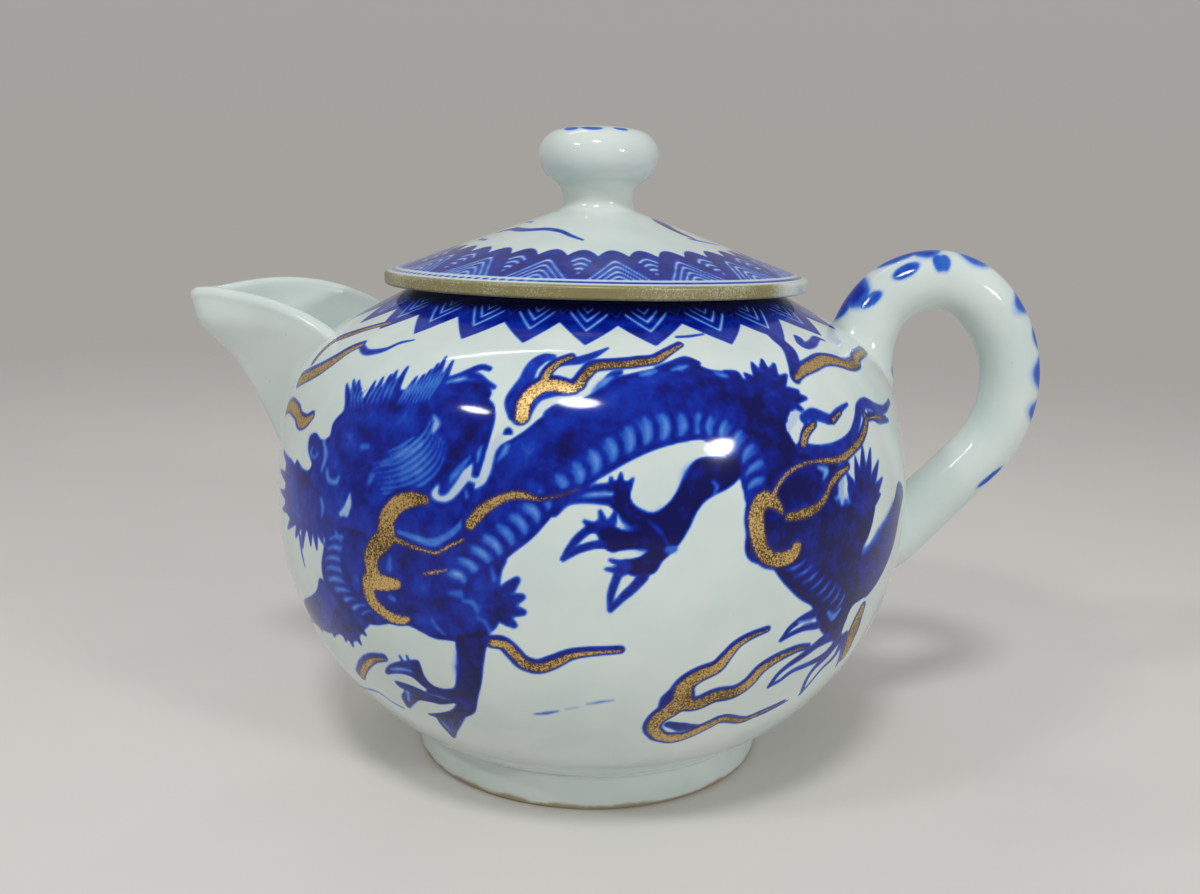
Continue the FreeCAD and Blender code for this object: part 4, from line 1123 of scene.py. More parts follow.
def painted_porcelain(colours):
    """Porcelain brushed with cobalt under the glaze and gilded over it: soft mottled blues, rubbed gold."""
    material, tree = new_material("painted_porcelain")
    place, body, normal = glaze_sockets(tree, colours)
    ink, gilt, worn = [
        add_node(tree, "Attribute", attribute_name=layer).outputs["Fac"] for layer in ("ink", "gilt", "worn")
    ]
    # Cobalt pools and thins in the brush marks, in blots of about 2.4 mm and finer
    blots = add_node(
        tree, "TexNoise", {"Vector": place, "Scale": 1 / (2.4 * MM), "Detail": 4.0, "Roughness": 0.6}
    ).outputs["Fac"]
    spread = add_node(
        tree, "MapRange", {"Value": blots, "From Min": 0.28, "From Max": 0.72, "To Min": 0.8, "To Max": 1.14}
    ).outputs["Result"]
    depth = add_node(tree, "Math", {0: ink, 1: spread}, operation="MULTIPLY").outputs["Value"]
    blue = add_node(tree, "ValToRGB", {"Fac": depth})
    set_ramp(
        blue,
        (
            (0.0, colours.blue_pale), (0.2, colours.blue_pale), (0.42, colours.blue_light),
            (0.66, colours.blue_mid), (0.84, colours.blue_deep), (1.0, colours.blue_dark_and_shade),
        ),
    )
    cover = add_node(tree, "MapRange", {"Value": depth, "From Min": 0.03, "From Max": 0.34}).outputs["Result"]
    painted = add_node(
        tree, "Mix", {"Factor": cover, "A": body, "B": blue.outputs["Color"]}, data_type="RGBA"
    ).outputs["Result"]
    # Gold rubbed off in specks about 0.3 mm across, more in some places than in others
    grain = add_node(
        tree, "TexNoise", {"Vector": place, "Scale": 1 / (0.32 * MM), "Detail": 3.0, "Roughness": 0.7}
    ).outputs["Fac"]
    patch = add_node(tree, "TexNoise", {"Vector": place, "Scale": 1 / (11 * MM), "Detail": 1.0})
    rubbed = add_node(
        tree, "Math", {0: patch.outputs["Fac"], 1: 0.4, 2: grain}, operation="MULTIPLY_ADD"
    ).outputs["Value"]
    # The thin edges of the gold are rubbed first
    kept = add_node(tree, "Math", {0: gilt, 1: 0.3, 2: rubbed}, operation="MULTIPLY_ADD").outputs["Value"]
    left = add_node(tree, "MapRange", {"Value": kept, "From Min": 0.835, "From Max": 1.1}).outputs["Result"]
    gold = add_node(tree, "ValToRGB", {"Fac": left})
    dark, full, thick = colours.gilt_dark, colours.gilt, colours.gilt_bright
    set_ramp(gold, ((0.0, dark), (0.2, dark), (0.42, full), (0.8, thick)))
    olive = add_node(tree, "ValToRGB", {"Fac": left})
    set_ramp(olive, ((0.0, colours.rim_bare), (0.6, colours.rim_gilt), (1.0, colours.rim_gilt)))
    shades = {"Factor": worn, "A": gold.outputs["Color"], "B": olive.outputs["Color"]}
    metal = add_node(tree, "Mix", shades, data_type="RGBA").outputs["Result"]
    surface = add_node(tree, "Mix", {"Factor": gilt, "A": painted, "B": metal}, data_type="RGBA")
    bright = add_node(tree, "Math", {0: gilt, 1: left}, operation="MULTIPLY").outputs["Value"]
    fresh = add_node(tree, "MapRange", {"Value": worn, "To Min": 0.85, "To Max": 0.25}).outputs["Result"]
    metallic = add_node(tree, "Math", {0: bright, 1: fresh}, operation="MULTIPLY")
    rough = add_node(tree, "MapRange", {"Value": gilt, "To Min": GLAZE_ROUGHNESS, "To Max": 0.36})
    shader = add_node(
        tree, "BsdfPrincipled",
        {
            "Base Color": surface.outputs["Result"], "Normal": normal, "Metallic": metallic.outputs["Value"],
            "Roughness": rough.outputs["Result"], "IOR": GLAZE_IOR,
        },
    )
    add_node(tree, "OutputMaterial", {"Surface": shader.outputs["BSDF"]})
    return material


def foot_porcelain(colours):
    """Glazed foot ring whose standing edge was wiped before firing: dull, stained biscuit at the bottom."""
    material, tree = new_material("wiped_foot_porcelain")
    place, body, normal = glaze_sockets(tree, colours)
    height = add_node(tree, "SeparateXYZ", {"Vector": place}).outputs["Z"]
    # The glaze ends in a wavy line about 1 mm up
    wave = add_node(tree, "TexNoise", {"Vector": place, "Scale": 1 / (4 * MM), "Detail": 2.0}).outputs["Fac"]
    line = add_node(tree, "MapRange", {"Value": wave, "To Min": 0.2 * MM, "To Max": 1.9 * MM})
    over = add_node(tree, "Math", {0: height, 1: line.outputs["Result"]}, operation="SUBTRACT")
    bare = add_node(
        tree, "MapRange",
        {
            "Value": over.outputs["Value"], "From Min": -0.3 * MM, "From Max": 0.3 * MM, "To Min": 1.0,
            "To Max": 0.0,
        },
    ).outputs["Result"]
    surface = add_node(tree, "Mix", {"Factor": bare, "A": body, "B": colours.biscuit}, data_type="RGBA")
    rough = add_node(tree, "MapRange", {"Value": bare, "To Min": 0.12, "To Max": 0.65})
    shader = add_node(
        tree, "BsdfPrincipled",
        {
            "Base Color": surface.outputs["Result"], "Normal": normal,
            "Roughness": rough.outputs["Result"], "IOR": GLAZE_IOR,
        },
    )
    add_node(tree, "OutputMaterial", {"Surface": shader.outputs["BSDF"]})
    return material


def studio_floor(colours):
    """Matt painted board: pale, even and without gloss."""
    material, tree = new_material("matt_studio_board")
    place = add_node(tree, "TexCoord").outputs["Object"]
    # Faint mottling about 60 mm across
    mottle = add_node(tree, "TexNoise", {"Vector": place, "Scale": 1 / (60 * MM), "Detail": 2.0})
    tone = add_node(tree, "ValToRGB", {"Fac": mottle.outputs["Fac"]})
    set_ramp(tone, ((0.3, colours.floor), (0.7, [part * 0.97 for part in colours.floor[:3]] + [1.0])))
    board = add_node(tree, "BsdfPrincipled", {"Base Color": tone.outputs["Color"], "Roughness": 0.9})
    # Far from the pot the board thins out into the backdrop
    far = add_node(tree, "VectorMath", {0: place}, operation="LENGTH").outputs["Value"]
    fade = add_node(
        tree, "MapRange", {"Value": far, "From Min": 0.18, "From Max": 0.9}, interpolation_type="SMOOTHSTEP"
    )
    clear = add_node(tree, "BsdfTransparent")
    both = add_node(tree, "MixShader", {0: fade.outputs["Result"], 1: board.outputs[0], 2: clear.outputs[0]})
    add_node(tree, "OutputMaterial", {"Surface": both.outputs["Shader"]})
    return material


def finish(maker):
    """Return the material that a maker makes, making it once."""
    known = bpy.data.materials.get(finish.names.get(maker, ""))
    if known is None:
        known = maker(bpy.context.scene.teapot_colours)
        finish.names[maker] = known.name
    return known


finish.names = {}


# Operators


class TEAPOT_OT_bowl(bpy.types.Operator):
    """Turn the bowl's wall and pierce the strainer behind the spout"""

    bl_idname = "teapot.bowl"
    bl_label = "Bowl"

    def execute(self, context):
        sizes = context.scene.teapot_bowl
        centre, radius = lower_arc(sizes)
        start = math.asin((sizes.floor_rise - centre.z) / radius)
        outline = Outline(point(0.0, sizes.floor_rise))
        outline.line(point(sizes.foot_inner, sizes.floor_rise), 6)
        draw_wall(outline, sizes, 0.0, start, 1)
        inner_floor = sizes.floor_rise + sizes.floor_thickness
        inner_start = math.asin((inner_floor - centre.z) / (radius - sizes.wall))
        inside = Outline(turned_point(centre, radius - sizes.wall, inner_start))
        draw_wall(inside, sizes, sizes.wall, inner_start, 1)
        for across, height in inside.points()[::-1]:
            outline.line(point(across, height))
        inside.mesh.free()
        outline.line(point(0.0, inner_floor), 6)
        nodes = ("lower_bowl", "upper_bowl")
        bowl = add_piece("bowl_porcelain", outline.revolve(), finish(plain_porcelain), "pot", nodes)
        inset, depth = 6 * MM, 30 * MM
        level = Matrix.Rotation(math.pi / 2, 4, "Y")
        drill = bmesh.new()
        holes = [(0.0, 0.0)]
        for index in range(sizes.strainer_count):
            turn = TURN * index / sizes.strainer_count
            holes.append((sizes.strainer_ring * math.cos(turn), sizes.strainer_ring * math.sin(turn)))
        for across, up in holes:
            middle = Vector((-sizes.belly_radius + inset, across, sizes.strainer_height + up))
            bmesh.ops.create_cone(
                drill, cap_ends=True, segments=24, radius1=sizes.strainer_hole, radius2=sizes.strainer_hole,
                depth=depth, matrix=Matrix.Translation(middle) @ level,
            )
        data = bpy.data.meshes.new("drill")
        drill.to_mesh(data)
        drill.free()
        cutter = bpy.data.objects.new("drill", data)
        context.scene.collection.objects.link(cutter)
        applied(bowl, "BOOLEAN", object=cutter, operation="DIFFERENCE", solver="EXACT")
        bpy.data.objects.remove(cutter)
        bpy.data.meshes.remove(data)
        return {"FINISHED"}


class TEAPOT_OT_painting(bpy.types.Operator):
    """Lay the painted glaze over the outside of the bowl, front and back"""

    bl_idname = "teapot.painting"
    bl_label = "Painted glaze"

    def execute(self, context):
        sizes = context.scene.teapot_bowl
        skin = bowl_outside(sizes)
        canvas = paint_bowl(skin)
        # The lowest steps of the wall, where it only widens
        lower = slice(60)
        low = np.interp(GLAZE_FOOT, skin.radius[lower], skin.length[lower])
        high = skin.length[-1]
        for name, first, last, columns, rows, over_root in GLAZE_PANELS:
            foot = high - GLAZE_COLLAR if over_root else low
            thick = 1.5 * GLAZE_FILM if over_root else GLAZE_FILM

            def place(across, along):
                """Lay the film, which thins out and sinks into the wall along its free edges."""
                angles = np.radians(first + (last - first) * across)
                girth = math.radians(last - first) * sizes.mouth_outer
                border = (high - foot) * along
                if first != GLAZE_JOIN:
                    border = np.minimum(border, girth * across)
                if last != GLAZE_JOIN:
                    border = np.minimum(border, girth * (1.0 - across))
                lift = thick * (1.5 * ease(border / GLAZE_MARGIN) - 0.5)
                lift = np.where(along > 1 - MERGE, np.minimum(lift, 0.2 * thick), lift)
                return skin.place(angles, foot + (high - foot) * along, lift)

            mesh = sheet(columns, rows, place)
            points = mesh_points(mesh)
            # The back mirrors the front
            angles = -np.abs(np.arctan2(points[:, 1], points[:, 0]))
            lengths = np.interp(points[:, 2], skin.height, skin.length)
            layers = {layer: canvas.read(layer, angles, lengths) for layer in ("ink", "gilt")}
            add_piece(name, mesh, finish(painted_porcelain), "pot", layers=layers)
        return {"FINISHED"}


class TEAPOT_OT_foot_ring(bpy.types.Operator):
    """Turn the foot ring with its rounded standing edge"""

    bl_idname = "teapot.foot_ring"
    bl_label = "Foot ring"

    def execute(self, context):
        sizes = context.scene.teapot_bowl
        centre, radius = lower_arc(sizes)
        top = centre.z - math.sqrt(radius ** 2 - (sizes.foot_outer - centre.x) ** 2)
        rounding = sizes.foot_round
        sunk, drop, hollow = 0.3 * MM, 0.9 * MM, 1.2 * MM
        outline = Outline(point(sizes.foot_inner, sizes.floor_rise + sunk))
        outline.line(point(sizes.foot_inner, rounding), 3)
        outline.arc(point(sizes.foot_inner + rounding, rounding), math.pi / 2, 5)
        outline.line(point(sizes.foot_outer - rounding, 0.0), 3)
        outline.arc(point(sizes.foot_outer - rounding, rounding), math.pi / 2, 5)
        outline.line(point(sizes.foot_outer, top - drop), 4)
        outline.arc(point(sizes.foot_outer + hollow, top - drop), -math.radians(62), 5)
        outline.line(point(sizes.foot_outer + 0.2 * MM, top + 1.2 * MM))
        outline.line(point(sizes.foot_inner, sizes.floor_rise + sunk), 3)
        add_piece("foot_ring_porcelain", outline.revolve(), finish(foot_porcelain), "pot", ("foot_ring",))
        return {"FINISHED"}


class TEAPOT_OT_mouth_rim(bpy.types.Operator):
    """Turn the rim that the lid sits on, with the collar's blue on its slope, dark as painted shade under the
    lid
    """

    bl_idname = "teapot.mouth_rim"
    bl_label = "Mouth rim"

    def execute(self, context):
        sizes = context.scene.teapot_bowl
        skin = bowl_outside(sizes)
        wall_top = float(skin.height[-1])
        seat = wall_top + sizes.rim_rise
        under = wall_top - sizes.wall / math.sin(sizes.shoulder_angle)
        slope = math.tan(math.pi / 2 - sizes.shoulder_angle)
        rounding = sizes.rim_round
        blue_end, deep = 0.3 * MM, 1.25
        outline = Outline(point(sizes.mouth_outer, under))
        outline.line(point(sizes.mouth_outer, wall_top), 2)
        outline.line(point(sizes.mouth_outer - sizes.rim_chamfer, seat), 2)
        outline.line(point(sizes.mouth_outer - sizes.rim_chamfer - blue_end, seat))
        outline.line(point(sizes.mouth_inner + rounding, seat), 3)
        outline.arc(point(sizes.mouth_inner + rounding, seat - rounding), math.pi / 2, 6)
        outline.line(point(sizes.mouth_inner, under + (sizes.mouth_outer - sizes.mouth_inner) * slope), 2)
        outline.line(point(sizes.mouth_outer, under))
        mesh = outline.revolve()
        points = mesh_points(mesh)
        radius = np.hypot(points[:, 0], points[:, 1])
        # The collar's blue runs on up the slope to the seat, as dark as the painted shade under the lid
        ink = np.where(radius > sizes.mouth_outer - sizes.rim_chamfer - blue_end / 3, deep, 0.0)
        add_piece("mouth_rim_porcelain", mesh, finish(painted_porcelain), "pot", ("mouth_rim",), {"ink": ink})
        return {"FINISHED"}


class TEAPOT_OT_spout(bpy.types.Operator):
    """Shape the beak spout, seat it in the wall and round its lip"""

    bl_idname = "teapot.spout"
    bl_label = "Spout"

    def execute(self, context):
        sizes = context.scene.teapot_spout
        belly = context.scene.teapot_bowl.belly_radius
        skin = bowl_outside(context.scene.teapot_bowl)
        longest, highest = 40 * MM, 100 * MM
        tip_side, tip_width = -0.12, 0.2
        sink_span, flare_span, flare_drop = 6.0 * MM, 4.5 * MM, 8.0 * MM
        # How far under the lip the front swells most, and how soon that fades below, above and to the sides
        swell_drop, fade_below, fade_above, fade_side = 3.5 * MM, 5.5 * MM, 3.2 * MM, 0.36
        # Shares of the sheet up the outside, over the lip and down the inside, and where it turns back
        up_share, lip_share, down_share, back = 0.42, 0.16, 0.4, 0.98

        def section(height, run):
            """Return points at signed runs from the front of the level section at a height."""
            step = (height - sizes.low_height) / sizes.rise
            low, mid, high = (step - 1) * (step - 2) / 2, step * (2 - step), step * (step - 1) / 2
            reach = low * sizes.low_reach + mid * sizes.mid_reach + high * sizes.high_reach
            flare = low * sizes.low_angle + mid * sizes.mid_angle + high * sizes.high_angle
            turn = np.pi / 2 - flare
            middle = belly + reach - sizes.nose
            bent = np.clip(np.abs(run) / sizes.nose, 0.0, turn)
            straight = np.maximum(np.abs(run) - sizes.nose * turn, 0.0)
            across = middle + sizes.nose * np.cos(bent) - straight * np.cos(flare)
            side = sizes.nose * np.sin(bent) + straight * np.sin(flare)
            return np.stack((-across, np.sign(run) * side, height), axis=-1)

        def rim_gap(spots):
            """Return how far points stand over the arched rim."""
            ahead = -spots[:, 0] - sizes.crest_reach
            drop = sizes.rim_radius - np.sqrt(np.maximum(sizes.rim_radius ** 2 - ahead ** 2, 1e-8))
            return spots[:, 2] - (sizes.crest_height - drop + spots[:, 1] * math.tan(sizes.rim_tilt))

        def reach_at(height):
            """Return the run from the front at which the section sinks into the wall."""
            near, far = np.zeros_like(height), np.full_like(height, longest)
            return crossing(near, far, lambda run: skin.depth(section(height, run)) > sizes.seat)

        def place(across, along):
            """Run up the outside, over the round lip, down the inside and back to the start."""
            side = 2.0 * across - 1.0
            low, high = np.full_like(side, sizes.low_height), np.full_like(side, highest)
            low = crossing(low, high, lambda level: rim_gap(section(level, side * reach_at(level))) > 0.0)
            lip = sizes.wall / 2
            top = low - lip + sizes.tip_lift * np.exp(-(((side - tip_side) / tip_width) ** 2))
            along = np.where(along > 0.999, 0.0, along)
            down = np.clip((back - along) / down_share, 0.0, 1.0)
            share = np.minimum(np.clip(along / up_share, 0.0, 1.0), down)
            turn = np.clip((along - up_share) / lip_share, 0.0, 1.0) * np.pi
            height = sizes.low_height + (top - sizes.low_height) * share
            # The ends run deeper into the wall under the lip, because the shoulder falls away there
            run = side * reach_at(height + lip * ease(1.0 - (top - height) / sink_span))
            spots = section(height, run)
            normal = np.cross(
                section(height, run + 0.02 * MM) - section(height, run - 0.02 * MM),
                section(height + 0.05 * MM, run) - section(height - 0.05 * MM, run),
            )
            normal /= np.linalg.norm(normal, axis=1, keepdims=True)
            normal *= np.where(np.sign(side) * normal[:, 1] - 0.5 * normal[:, 0] > 0.0, 1.0, -1.0)[:, None]
            upward = np.array((0.0, 0.0, 1.0)) - normal * normal[:, 2:]
            upward /= np.linalg.norm(upward, axis=1, keepdims=True)
            near = np.clip(1.0 - (reach_at(height) - np.abs(run)) / flare_span, 0.0, 1.0) ** 2
            flare = sizes.fillet * near * ease((top - height) / flare_drop) * (turn == 0.0)
            below = top - height - swell_drop
            swell = sizes.roll * (0.12 + 0.88 * np.exp(-(side / fade_side) ** 2))
            swell *= np.exp(-((below / np.where(below > 0.0, fade_below, fade_above)) ** 2))
            reach = np.cos(turn)[:, None] * normal + np.sin(turn)[:, None] * upward
            return spots + normal * (flare + swell - lip)[:, None] + reach * lip

        mesh = sheet(96, 100, place, closed=True)
        add_piece("spout_porcelain", mesh, finish(plain_porcelain), "pot", ("spout",))
        return {"FINISHED"}


class TEAPOT_OT_handle(bpy.types.Operator):
    """Bend the loop handle, flare its ends into the wall and dab it with blue"""

    bl_idname = "teapot.handle"
    bl_label = "Handle"

    def execute(self, context):
        sizes = context.scene.teapot_handle
        skin = bowl_outside(context.scene.teapot_bowl)
        top = point(sizes.top_across, sizes.top_height)
        heading = Vector((math.sin(sizes.root_angle), 0.0, -math.cos(sizes.root_angle)))
        first = turned_point(top, sizes.top_radius, sizes.root_angle) - heading * sizes.root_length
        line = Outline(first)
        line.line(first + heading * sizes.root_length, 24)
        line.arc(top, sizes.side_angle - sizes.root_angle, 48)
        side = turned_point(top, sizes.top_radius - sizes.side_radius, sizes.side_angle)
        line.arc(side, sizes.end_angle - sizes.side_angle, 60)
        heading = Vector((math.sin(sizes.end_angle), 0.0, -math.cos(sizes.end_angle)))
        line.line(line.tip.co + heading * sizes.straight, 36)
        inward = Vector((math.cos(sizes.end_angle), 0.0, math.sin(sizes.end_angle)))
        bend = line.tip.co - inward * sizes.end_radius
        line.arc(bend, -math.pi / 2 - sizes.end_angle, 24)
        path = line.points()
        line.mesh.free()
        search = 40 * MM
        runs = np.concatenate(([0.0], np.cumsum(np.hypot(*np.diff(path, axis=0).T))))
        ahead = np.gradient(path, runs, axis=0)

        def spot(run, turn):
            """Return the handle's surface at a run along it and a turn round it."""
            x, z = np.interp(run, runs, path[:, 0]), np.interp(run, runs, path[:, 1])
            along_x, along_z = np.interp(run, runs, ahead[:, 0]), np.interp(run, runs, ahead[:, 1])
            middle = np.stack((x, np.zeros_like(x), z), axis=-1)
            facing = np.stack((-along_z * np.cos(turn), np.sin(turn), along_x * np.cos(turn)), axis=-1)
            round_spot = middle + facing * sizes.thickness / 2
            flare = np.where(run < runs[-1] / 2, sizes.fillet, sizes.low_fillet) * (1.0 - 0.8 * np.cos(turn))
            flare *= np.exp(np.minimum(skin.depth(round_spot), 1.0 * MM) / (4.0 * MM))
            return round_spot + facing * flare[:, None]

        def place(across, along):
            """Run round and along the handle, from where it leaves the wall to where it meets it again."""
            turn = across * TURN
            first, last = np.zeros_like(turn), np.full_like(turn, runs[-1])
            starts = crossing(first, first + search, lambda run: ~(skin.depth(spot(run, turn)) > sizes.seat))
            ends = crossing(last - search, last, lambda run: skin.depth(spot(run, turn)) > sizes.seat)
            return spot(starts + (ends - starts) * along, turn)

        mesh = sheet(72, 300, place, closed=True)
        points = mesh_points(mesh)
        ink = np.zeros(len(points))
        facing = np.array([vert.normal.to_tuple() for vert in mesh.verts])
        pixels = photo_pixels(points)
        towards = np.einsum("ij,ij->i", facing, np.array(CAMERA_PLACE) - points) > 0.0
        back_width, shortest = 4.0 * MM, 0.8 * MM
        for middle, tip, width, depth in HANDLE_DABS:
            ends = []
            for pixel in (middle, tip):
                gap = np.where(towards, np.hypot(*(pixels - pixel).T), 1e3)
                ends.append(points[gap.argmin()])
            wide = width * MM / 2
            if abs(ends[0][1]) < back_width:
                # A dab seen at the handle's edge goes over its back
                wide += abs(ends[0][1])
                ends = [end * np.array((1.0, 0.0, 1.0)) for end in ends]
            half = ends[1] - ends[0]
            reach = max(np.linalg.norm(half), shortest)
            half = half / max(np.linalg.norm(half), 1e-9)
            for flip in (1.0, -1.0):
                offset = points * np.array((1.0, flip, 1.0)) - ends[0]
                along = offset @ half
                beside = np.linalg.norm(offset - along[:, None] * half, axis=1)
                shape = np.hypot(along / (reach + 0.6 * MM), beside / wide)
                ink = np.maximum(ink, depth * ease((1.25 - shape) / 0.7))
        add_piece("handle_porcelain", mesh, finish(painted_porcelain), "pot", ("handle",), {"ink": ink})
        return {"FINISHED"}


def lid_outside(sizes, outline):
    """Draw the lid's outside up from its lower edge to the ledge round the knob."""
    corner = sizes.radius - sizes.edge_round
    outline.arc(point(corner, sizes.base + sizes.edge_round), math.pi / 2, 6)
    upper = sizes.base + sizes.edge - sizes.edge_round
    outline.line(point(sizes.radius, upper), 4)
    outline.arc(point(corner, upper), math.pi / 2 - sizes.slope, 6)
    brow = outline.tip.co.copy()
    neck, _ = knob_seat(sizes)
    seat = neck + sizes.knob_ledge
    top = brow.z + (brow.x - seat) * math.tan(sizes.slope)
    outline.line(point(seat, top), 96)
    return brow, top


def knob_seat(sizes):
    """Return the knob's neck radius and the distance between the arcs of its side."""
    reach = sizes.knob_side + sizes.knob_neck
    return sizes.knob_radius - reach + reach * math.cos(sizes.knob_lower_angle), reach


class TEAPOT_OT_lid_cover(bpy.types.Operator):
    """Turn the lid's cone and paint its arches, streaks and gilded edge"""

    bl_idname = "teapot.lid_cover"
    bl_label = "Lid cover"

    def execute(self, context):
        sizes = context.scene.teapot_lid
        corner = point(sizes.radius - sizes.edge_round, sizes.base)
        outside = Outline(corner)
        brow, top = lid_outside(sizes, outside)
        skin = RoundSkin(outside.points())
        outside.mesh.free()
        brow_length = float(np.interp(brow.z, skin.height, skin.length))
        canvas = paint_lid(skin, brow_length)
        depth = sizes.wall / math.cos(sizes.slope)
        seat = knob_seat(sizes)[0] + sizes.knob_ledge
        under = brow.z + (brow.x - sizes.flange_inner) * math.tan(sizes.slope) - depth
        outline = Outline(point(sizes.flange_inner, sizes.base))
        outline.line(corner, 4)
        lid_outside(sizes, outline)
        outline.line(point(0.0, top), 3)
        outline.line(point(0.0, top - depth))
        outline.line(point(seat, top - depth), 2)
        outline.line(point(sizes.flange_inner, under), 8)
        outline.line(point(sizes.flange_inner, sizes.base), 2)
        mesh = outline.revolve(LID_WEDGES)
        points = mesh_points(mesh)
        radius = np.hypot(points[:, 0], points[:, 1])
        angles = np.arctan2(points[:, 1], points[:, 0])
        hair, rim_width = 0.05 * MM, 1.4 * MM
        outer = np.abs(skin.depth(points)) < hair
        outer &= points[:, 2] > sizes.base - MERGE
        lengths = np.interp(points[:, 2], skin.height, skin.length)
        ink = np.where(outer, canvas.read("ink", angles, lengths), 0.0)
        gilt = np.where(outer, canvas.read("gilt", angles, lengths), 0.0)
        rim = outer & (points[:, 2] < brow.z + hair) & (radius > sizes.radius - rim_width)
        # The gilded rim is rubbed thin towards the handle
        degrees = np.degrees(angles)
        rubbed = 0.75 * ease((degrees + 44.0) / 14.0) * ease((30.0 - degrees) / 14.0)
        gilt = np.where(rim, 1.0 - rubbed, gilt)
        worn = np.where(rim, 1.0, 0.0)
        layers = {"ink": np.where(rim, 0.0, ink), "gilt": gilt, "worn": worn}
        add_piece("lid_cover_porcelain", mesh, finish(painted_porcelain), "lid", ("lid_cover",), layers)
        return {"FINISHED"}


class TEAPOT_OT_lid_flange(bpy.types.Operator):
    """Turn the collar that keeps the lid in the mouth"""

    bl_idname = "teapot.lid_flange"
    bl_label = "Lid flange"

    def execute(self, context):
        sizes = context.scene.teapot_lid
        low, rounding = sizes.base - sizes.flange_depth, sizes.flange_round
        outline = Outline(point(sizes.flange_inner, sizes.base))
        outline.line(point(sizes.flange_inner, low + rounding), 4)
        outline.arc(point(sizes.flange_inner + rounding, low + rounding), math.pi / 2, 6)
        outline.line(point(sizes.flange_outer - rounding, low), 2)
        outline.arc(point(sizes.flange_outer - rounding, low + rounding), math.pi / 2, 6)
        outline.line(point(sizes.flange_outer, sizes.base), 4)
        outline.line(point(sizes.flange_inner, sizes.base), 2)
        mesh = outline.revolve()
        add_piece("lid_flange_porcelain", mesh, finish(plain_porcelain), "lid", ("lid_flange",))
        return {"FINISHED"}


class TEAPOT_OT_lid_knob(bpy.types.Operator):
    """Turn the mushroom knob and dab its crown with blue"""

    bl_idname = "teapot.lid_knob"
    bl_label = "Lid knob"

    def execute(self, context):
        sizes = context.scene.teapot_lid
        shape = Outline(point(sizes.radius - sizes.edge_round, sizes.base))
        _, top = lid_outside(sizes, shape)
        shape.mesh.free()
        neck, reach = knob_seat(sizes)
        neck_top = top + sizes.knob_neck_height
        level = neck_top + reach * math.sin(sizes.knob_lower_angle)
        side = point(sizes.knob_radius - sizes.knob_side, level)
        crown = point(0.0, side.z - side.x * math.tan(sizes.knob_upper_angle))
        fillet = sizes.knob_fillet
        lean = (fillet - sizes.knob_ledge) * math.tan(sizes.slope)
        hollow = point(neck + fillet, top - lean + fillet / math.cos(sizes.slope))
        foot = turned_point(hollow, fillet, -math.pi / 2 - sizes.slope)
        bottom = point(0.0, top - 0.6 * MM)
        outline = Outline(bottom)
        outline.line(foot - point(0.0, 0.3 * MM), 3)
        outline.line(foot)
        outline.arc(hollow, sizes.slope - math.pi / 2, 10)
        outline.line(point(neck, neck_top))
        outline.arc(point(neck + sizes.knob_neck, neck_top), -sizes.knob_lower_angle, 16)
        outline.arc(side, sizes.knob_lower_angle + sizes.knob_upper_angle, 40)
        outline.arc(crown, math.pi / 2 - sizes.knob_upper_angle, 24)
        outline.tip.co.x = 0.0
        outline.line(bottom)
        mesh = outline.revolve()
        points = mesh_points(mesh)
        angles, radius = np.arctan2(points[:, 1], points[:, 0]), np.hypot(points[:, 0], points[:, 1])
        ink = np.zeros(len(points))
        for turn, ring, long, wide in KNOB_DABS:
            gap = (angles - math.radians(turn) + math.pi) % TURN - math.pi
            shape = np.hypot(gap * radius / (long * MM), (radius - ring * MM - gap * MM) / (wide * MM))
            shape = np.where(points[:, 2] > side.z, shape, 9.0)
            ink = np.maximum(ink, KNOB_DEPTH * ease((1.2 - shape) / 0.6))
        add_piece("lid_knob_porcelain", mesh, finish(painted_porcelain), "lid", ("lid_knob",), {"ink": ink})
        return {"FINISHED"}


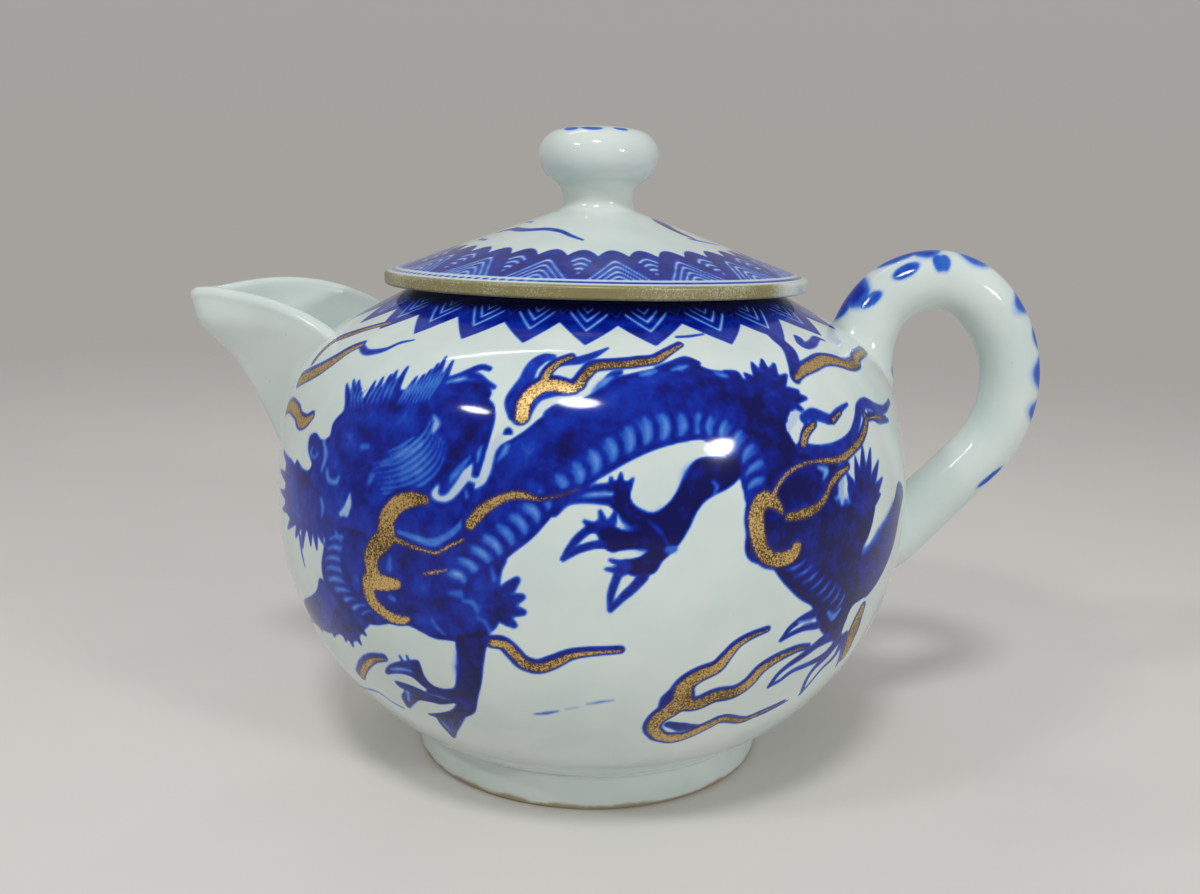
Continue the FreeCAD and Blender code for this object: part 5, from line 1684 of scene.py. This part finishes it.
class TEAPOT_OT_stage(bpy.types.Operator):
    """Set the floor, the lamps, the world and the camera"""

    bl_idname = "teapot.stage"
    bl_label = "Stage"

    def execute(self, context):
        scene = context.scene
        mesh = bmesh.new()
        bmesh.ops.create_grid(mesh, x_segments=1, y_segments=1, size=FLOOR_REACH)
        data = bpy.data.meshes.new("floor")
        mesh.to_mesh(data)
        mesh.free()
        data.materials.append(finish(studio_floor))
        floor = bpy.data.objects.new("floor", data)
        scene.collection.objects.link(floor)
        for name, spot, aim, distance, size, lean, power in LAMPS:
            light = bpy.data.lights.new(name, "AREA")
            light.shape = "ELLIPSE"
            light.size, light.size_y = size
            light.energy = power
            lamp = bpy.data.objects.new(name, light)
            direction = Vector(aim).normalized()
            lamp.location = Vector(spot) * MM + direction * distance
            facing = direction.to_track_quat("Z", "Y") @ Quaternion((0.0, 0.0, 1.0), math.radians(lean))
            lamp.rotation_euler = facing.to_euler()
            scene.collection.objects.link(lamp)
        world = bpy.data.worlds.new("studio")
        world.use_nodes = True
        tree = world.node_tree
        tree.nodes.clear()
        # Paler towards the top, so that the glaze mirrors an even, unlined room
        look = add_node(tree, "TexCoord").outputs["Generated"]
        rise = add_node(tree, "SeparateXYZ", {"Vector": look}).outputs["Z"]
        share = add_node(tree, "MapRange", {"Value": rise, "From Min": 0.05, "From Max": 0.9})
        shade = add_node(tree, "ValToRGB", {"Fac": share.outputs["Result"]})
        set_ramp(shade, ((0.0, BACKDROP), (1.0, ZENITH)))
        room = add_node(tree, "Background", {"Color": shade.outputs["Color"], "Strength": 1.0})
        add_node(tree, "OutputWorld", {"Surface": room.outputs["Background"]})
        scene.world = world
        view = bpy.data.cameras.new("camera")
        view.sensor_width = SENSOR_WIDTH
        view.sensor_fit = "HORIZONTAL"
        view.lens = FOCAL_PIXELS / PHOTO_WIDTH * SENSOR_WIDTH
        view.clip_start = 10 * MM
        camera = bpy.data.objects.new("camera", view)
        right, up, forward = camera_axes()
        turned = Matrix((right, up, -forward)).transposed().to_4x4()
        camera.matrix_world = Matrix.Translation(CAMERA_PLACE) @ turned
        scene.collection.objects.link(camera)
        scene.camera = camera
        scene.view_settings.view_transform = "Standard"
        return {"FINISHED"}


class TEAPOT_PT_panel(bpy.types.Panel):
    """Lists the teapot's pieces"""

    bl_idname = "TEAPOT_PT_panel"
    bl_label = "Teapot"
    bl_space_type = "VIEW_3D"
    bl_region_type = "UI"
    bl_category = "Teapot"

    def draw(self, context):
        for operator in OPERATORS:
            self.layout.operator(operator.bl_idname)
        for group in GROUPS:
            settings = getattr(context.scene, group)
            for name in settings.bl_rna.properties.keys():
                if name not in {"rna_type", "name"}:
                    self.layout.prop(settings, name)


OPERATORS = (
    TEAPOT_OT_bowl,
    TEAPOT_OT_painting,
    TEAPOT_OT_foot_ring,
    TEAPOT_OT_mouth_rim,
    TEAPOT_OT_spout,
    TEAPOT_OT_handle,
    TEAPOT_OT_lid_cover,
    TEAPOT_OT_lid_flange,
    TEAPOT_OT_lid_knob,
    TEAPOT_OT_stage,
)
GROUPS = {
    "teapot_bowl": TeapotBowlSizes,
    "teapot_spout": TeapotSpoutSizes,
    "teapot_handle": TeapotHandleSizes,
    "teapot_lid": TeapotLidSizes,
    "teapot_colours": TeapotColours,
}


def register():
    """Add the settings, the operators and the panel."""
    for name, group in GROUPS.items():
        bpy.utils.register_class(group)
        setattr(bpy.types.Scene, name, bpy.props.PointerProperty(type=group))
    for operator in OPERATORS:
        bpy.utils.register_class(operator)
    bpy.utils.register_class(TEAPOT_PT_panel)


def unregister():
    """Take the panel, the operators and the settings away again."""
    bpy.utils.unregister_class(TEAPOT_PT_panel)
    for operator in reversed(OPERATORS):
        bpy.utils.unregister_class(operator)
    for name, group in GROUPS.items():
        delattr(bpy.types.Scene, name)
        bpy.utils.unregister_class(group)


def main():
    """Build every piece and the stage."""
    register()
    for operator in OPERATORS:
        category, name = operator.bl_idname.split(".")
        getattr(getattr(bpy.ops, category), name)()


if __name__ == "__main__":
    main()
